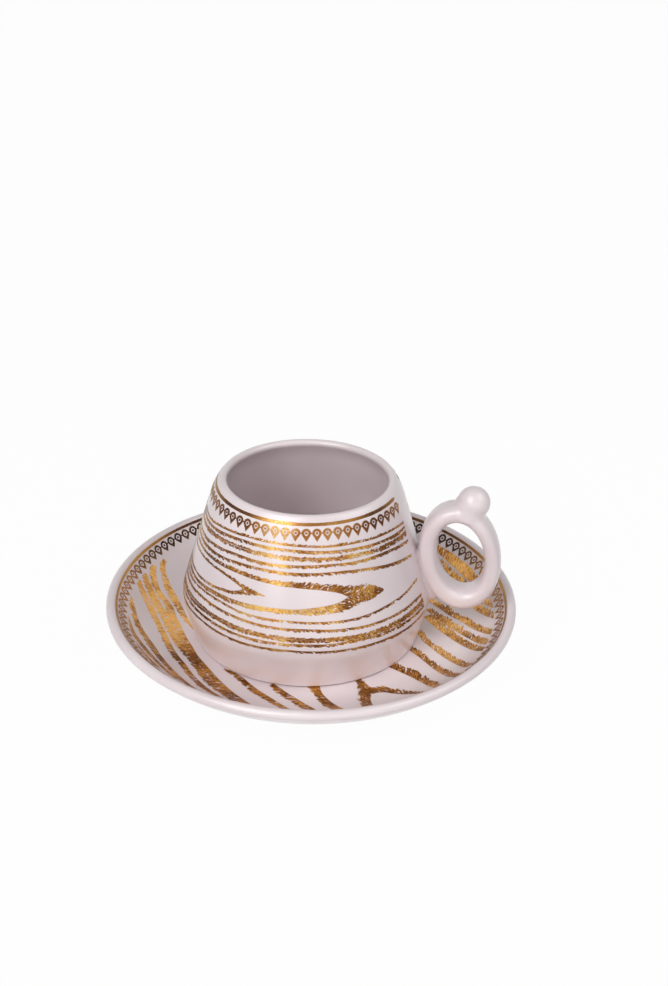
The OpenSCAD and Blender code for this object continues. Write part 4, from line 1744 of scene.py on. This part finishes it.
            # Neighbours lie at two levels, so that strokes that touch don't share a surface
            lift = self.lift + self.stack * (order % 2)
            keep = [self.inner_r < math.hypot(x, y) < self.outer_r for x, y in flat]
            cut = [f for f in cut if all(keep[v] for v in f)]
            used = sorted({v for f in cut for v in f})
            number = {v: len(points) + k for k, v in enumerate(used)}
            points += [self.on_dish(*flat[v], lift) for v in used]
            run += [marks[v] for v in used]
            faces += [tuple(number[v] for v in f) for f in cut]
        obj = sheet("saucer_grain_gold", points, faces, run)
        return dress_print(obj, gold, "saucer_grain_print", "saucer")

    def build_line(self, gold: Material) -> Piece:
        """Bands the gold line inside the rim.

        Args:
            gold: The gold's material.

        Returns:
            The line.
        """
        grit = Grit(self.band_seed)
        count, rows = self.band_steps, self.band_rows
        points: list[Vector] = []
        for i in range(count):
            turn = 2 * math.pi * i / count
            swell = self.band_swell * float(grit.at(i / self.band_swell_steps, BAND_ROW))
            half = self.line_w / 2 * (1 + swell)
            for j in range(rows + 1):
                r = self.line_r + half * (2 * j / rows - 1)
                points.append(self.on_dish(r * math.cos(turn), r * math.sin(turn), self.lift))
        total = len(points)
        faces = [tuple(reversed([v % total for v in f])) for f in strip_faces(count, rows)]
        obj = sheet("saucer_line_gold", points, faces)
        return dress_print(obj, gold, "saucer_gold_line", "saucer")

    def build_drops(self, gold: Material) -> Piece:
        """Lays the border of drops inside the gold line, points inward.

        Args:
            gold: The gold's material.

        Returns:
            The border.
        """
        start = self.line_r - self.line_w / 2 - self.drop_gap
        slope = math.sqrt(1 - ((start - self.drop_l / 3 - self.saucer.well_r) / self.saucer.sweep_r) ** 2)
        pitch = 2 * math.pi * (start - self.drop_w / 2 * slope) / self.drops
        shape, cut = Drop(self.drop_w, self.drop_l, pitch).flat_mesh()
        points: list[Vector] = []
        faces: list[Face] = []
        for i in range(self.drops):
            turn = 2 * math.pi * i / self.drops
            base = len(points)
            for u, v in shape:
                r = start - (self.drop_l - v) * slope
                t = turn - u / r
                points.append(self.on_dish(r * math.cos(t), r * math.sin(t), self.lift))
            faces += [tuple(reversed([base + v for v in f])) for f in cut]
        obj = sheet("saucer_drops_gold", points, faces)
        return dress_print(obj, gold, "saucer_drop_border", "saucer")


# Studio


@dataclass(frozen=True)
class Lamp:
    """A soft box: azimuth and elevation in degrees, width and height in metres, power in watts."""

    name: str
    azimuth: float
    elevation: float
    width: float
    height: float
    power: float


def seen_share(tree: Tree) -> Socket:
    """Tells the rays that show a surface from those that only light the object.

    Args:
        tree: The node tree to add to.

    Returns:
        1 for camera, glossy and transmission rays, else 0.
    """
    rays = add_node(tree, "ShaderNodeLightPath").outputs
    direct = {0: rays["Is Camera Ray"], 1: rays["Is Glossy Ray"]}
    seen = add_node(tree, "ShaderNodeMath", {"operation": "MAXIMUM"}, direct)
    through = {0: seen.outputs[0], 1: rays["Is Transmission Ray"]}
    return add_node(tree, "ShaderNodeMath", {"operation": "MAXIMUM"}, through).outputs[0]


@dataclass
class Studio:
    """The camera, floor, room and lamps: the camera's turns in degrees, the floor in metres."""

    camera_mm: tuple[float, float, float] = (0.0, -322.8, 216.5)
    yaw: float = 1.093
    pitch: float = 27.27
    roll: float = 1.249
    handle_turn: float = 9.0
    lens: float = 44.91
    sensor: float = 36.0
    clip_m: float = 0.01
    floor_m: float = 9.0
    floor_drop_mm: float = 0.02
    paper: str = "#e6e3e3"
    # Share of the floor's look that is plain white, the rest is paper with its shadows
    paper_glow: float = 0.975
    room_light: float = 0.07
    lamp_distance_m: float = 0.9
    lamps: tuple[Lamp, ...] = (
        Lamp("key", azimuth=235.0, elevation=45.0, width=0.6, height=0.6, power=4.3),
        Lamp("window", azimuth=239.0, elevation=18.0, width=0.3, height=0.75, power=1.7),
        Lamp("fill", azimuth=-75.0, elevation=12.0, width=0.6, height=0.6, power=1.1),
        Lamp("side", azimuth=-20.0, elevation=50.0, width=0.6, height=0.6, power=2.6),
    )

    def build_camera(self) -> bpy.types.Object:
        """Stands the camera at the photograph's viewpoint.

        Returns:
            The camera.
        """
        yaw, pitch, roll = (math.radians(v) for v in (self.yaw, self.pitch, self.roll))
        level = math.cos(pitch)
        ahead = Vector((math.sin(yaw) * level, math.cos(yaw) * level, -math.sin(pitch)))
        right = ahead.cross(Vector((0, 0, 1))).normalized()
        up = right.cross(ahead)
        across = right * math.cos(roll) + up * math.sin(roll)
        over = up * math.cos(roll) - right * math.sin(roll)
        turn = Matrix.Rotation(math.radians(self.handle_turn), 4, "Z")
        axes = Matrix((across, over, -ahead)).transposed().to_4x4()
        camera = bpy.data.objects.new("camera", bpy.data.cameras.new("camera"))
        camera.matrix_world = turn @ (Matrix.Translation(Vector(self.camera_mm) * MM) @ axes)
        camera.data.lens = self.lens
        camera.data.sensor_width = self.sensor
        camera.data.clip_start = self.clip_m
        bpy.context.scene.collection.objects.link(camera)
        bpy.context.scene.camera = camera
        return camera

    def build_floor(self) -> bpy.types.Object:
        """Lays a plain white floor that keeps a faint shadow.

        Returns:
            The floor.
        """
        material, tree = fresh_tree("white_paper_floor")
        weight = {"operation": "MULTIPLY", 1: self.paper_glow}
        share = add_node(tree, "ShaderNodeMath", weight, {0: seen_share(tree)})
        paper = add_node(tree, "ShaderNodeBsdfDiffuse", {"Color": linear(self.paper)})
        glow = add_node(tree, "ShaderNodeEmission", {"Color": (1, 1, 1, 1), "Strength": 1.0})
        looks = {0: share.outputs[0], 1: paper.outputs[0], 2: glow.outputs[0]}
        mix = add_node(tree, "ShaderNodeMixShader", links=looks)
        add_node(tree, "ShaderNodeOutputMaterial", links={"Surface": mix.outputs[0]})
        deselect()
        bpy.ops.mesh.primitive_plane_add(size=self.floor_m, location=(0, 0, -self.floor_drop_mm * MM))
        floor = bpy.context.active_object
        floor.name = "floor"
        floor.data.materials.append(material)
        return floor

    def build_world(self) -> None:
        """Fills the room with a pale soft light, white where it is seen."""
        world = bpy.data.worlds.new("pale_room")
        world.use_nodes = True
        tree = world.node_tree
        tree.nodes.clear()
        span = {"To Min": self.room_light, "To Max": 1.0}
        level = add_node(tree, "ShaderNodeMapRange", span, {"Value": seen_share(tree)})
        strength = {"Strength": level.outputs["Result"]}
        light = add_node(tree, "ShaderNodeBackground", {"Color": (1, 1, 1, 1)}, strength)
        add_node(tree, "ShaderNodeOutputWorld", links={"Surface": light.outputs[0]})
        bpy.context.scene.world = world

    def build_lamp(self, lamp: Lamp) -> bpy.types.Object:
        """Hangs a soft box that faces the cup.

        Args:
            lamp: The soft box.

        Returns:
            The light.
        """
        data = bpy.data.lights.new(lamp.name, "AREA")
        data.shape = "RECTANGLE"
        data.size = lamp.width
        data.size_y = lamp.height
        data.energy = lamp.power
        light = bpy.data.objects.new(lamp.name, data)
        a, e = math.radians(lamp.azimuth + self.handle_turn), math.radians(lamp.elevation)
        place = Vector((math.cos(a) * math.cos(e), math.sin(a) * math.cos(e), math.sin(e)))
        place *= self.lamp_distance_m
        light.location = place
        light.rotation_euler = (-place).to_track_quat("-Z", "Y").to_euler()
        bpy.context.scene.collection.objects.link(light)
        return light

    def build(self) -> None:
        """Builds the whole studio."""
        self.build_camera()
        self.build_floor()
        self.build_world()
        for lamp in self.lamps:
            self.build_lamp(lamp)
        bpy.context.scene.view_settings.view_transform = "Standard"


def main() -> None:
    """Builds the object piece by piece and reports each."""
    logging.basicConfig(level=logging.INFO, format="%(name)s: %(message)s")
    Studio().build()
    glaze = GlazedPorcelain().material()
    biscuit = BiscuitFoot().material()
    # Each gold reaches its dark and bright colours through its table of painted reflection: the bright
    # colours are painted highlights, the dark ones painted dark reflection
    cup_line = FiredGold(
        "brushed_gold_on_cup",
        dark="#3f2412",
        middle="#8c5f2a",
        bright="#bfa563",
        painted_glints=CupPrint.GLINTS,
        mottle=0.1,
    ).material()
    cup_drops = FiredGold(
        "printed_gold_drops",
        dark="#4a2614",
        middle="#8e5c2a",
        bright="#c3aa76",
        painted_glints=CupPrint.GLINTS,
        mottle=0.12,
    ).material()
    cup_grain = FiredGold(
        "printed_gold_grain",
        dark="#5f3819",
        middle="#a4692c",
        bright="#d2ac62",
        painted_glints=CupPrint.GLINTS,
        mottle=0.8,
        streak_mm=0.28,
        streak_long_mm=1.0,
    ).material()
    dish_line = FiredGold(
        "brushed_gold_on_saucer",
        dark="#3f2412",
        middle="#9a6c34",
        bright="#d2a25a",
        painted_glints=SaucerPrint.LINE_GLINTS,
        mottle=0.1,
    ).material()
    dish_drops = FiredGold(
        "printed_gold_drops_on_saucer",
        dark="#2a1a12",
        middle="#a06c38",
        bright="#d0a060",
        painted_glints=SaucerPrint.DROP_GLINTS,
        mottle=0.12,
    ).material()
    dish_grain = FiredGold(
        "printed_gold_grain_on_saucer",
        dark="#6b400f",
        middle="#b3772c",
        bright="#e0aa5e",
        painted_glints=SaucerPrint.STROKE_GLINTS,
        mottle=1.15,
        streak_mm=0.32,
        streak_long_mm=1.4,
    ).material()
    saucer, cup = Saucer(), Cup()
    on_cup, on_saucer = CupPrint(cup), SaucerPrint(saucer)
    pieces = [
        saucer.build(glaze, biscuit),
        cup.build(glaze, biscuit),
        Handle(cup).build(glaze),
        on_cup.build_line(cup_line),
        on_cup.build_drops(cup_drops),
        *on_cup.build_grain(cup_grain),
        on_saucer.build_line(dish_line),
        on_saucer.build_drops(dish_drops),
        on_saucer.build_grain(dish_grain),
    ]
    for piece in pieces:
        LOG.info("%s: %d faces", piece.name, len(piece.data.polygons))


if __name__ == "__main__":
    main()
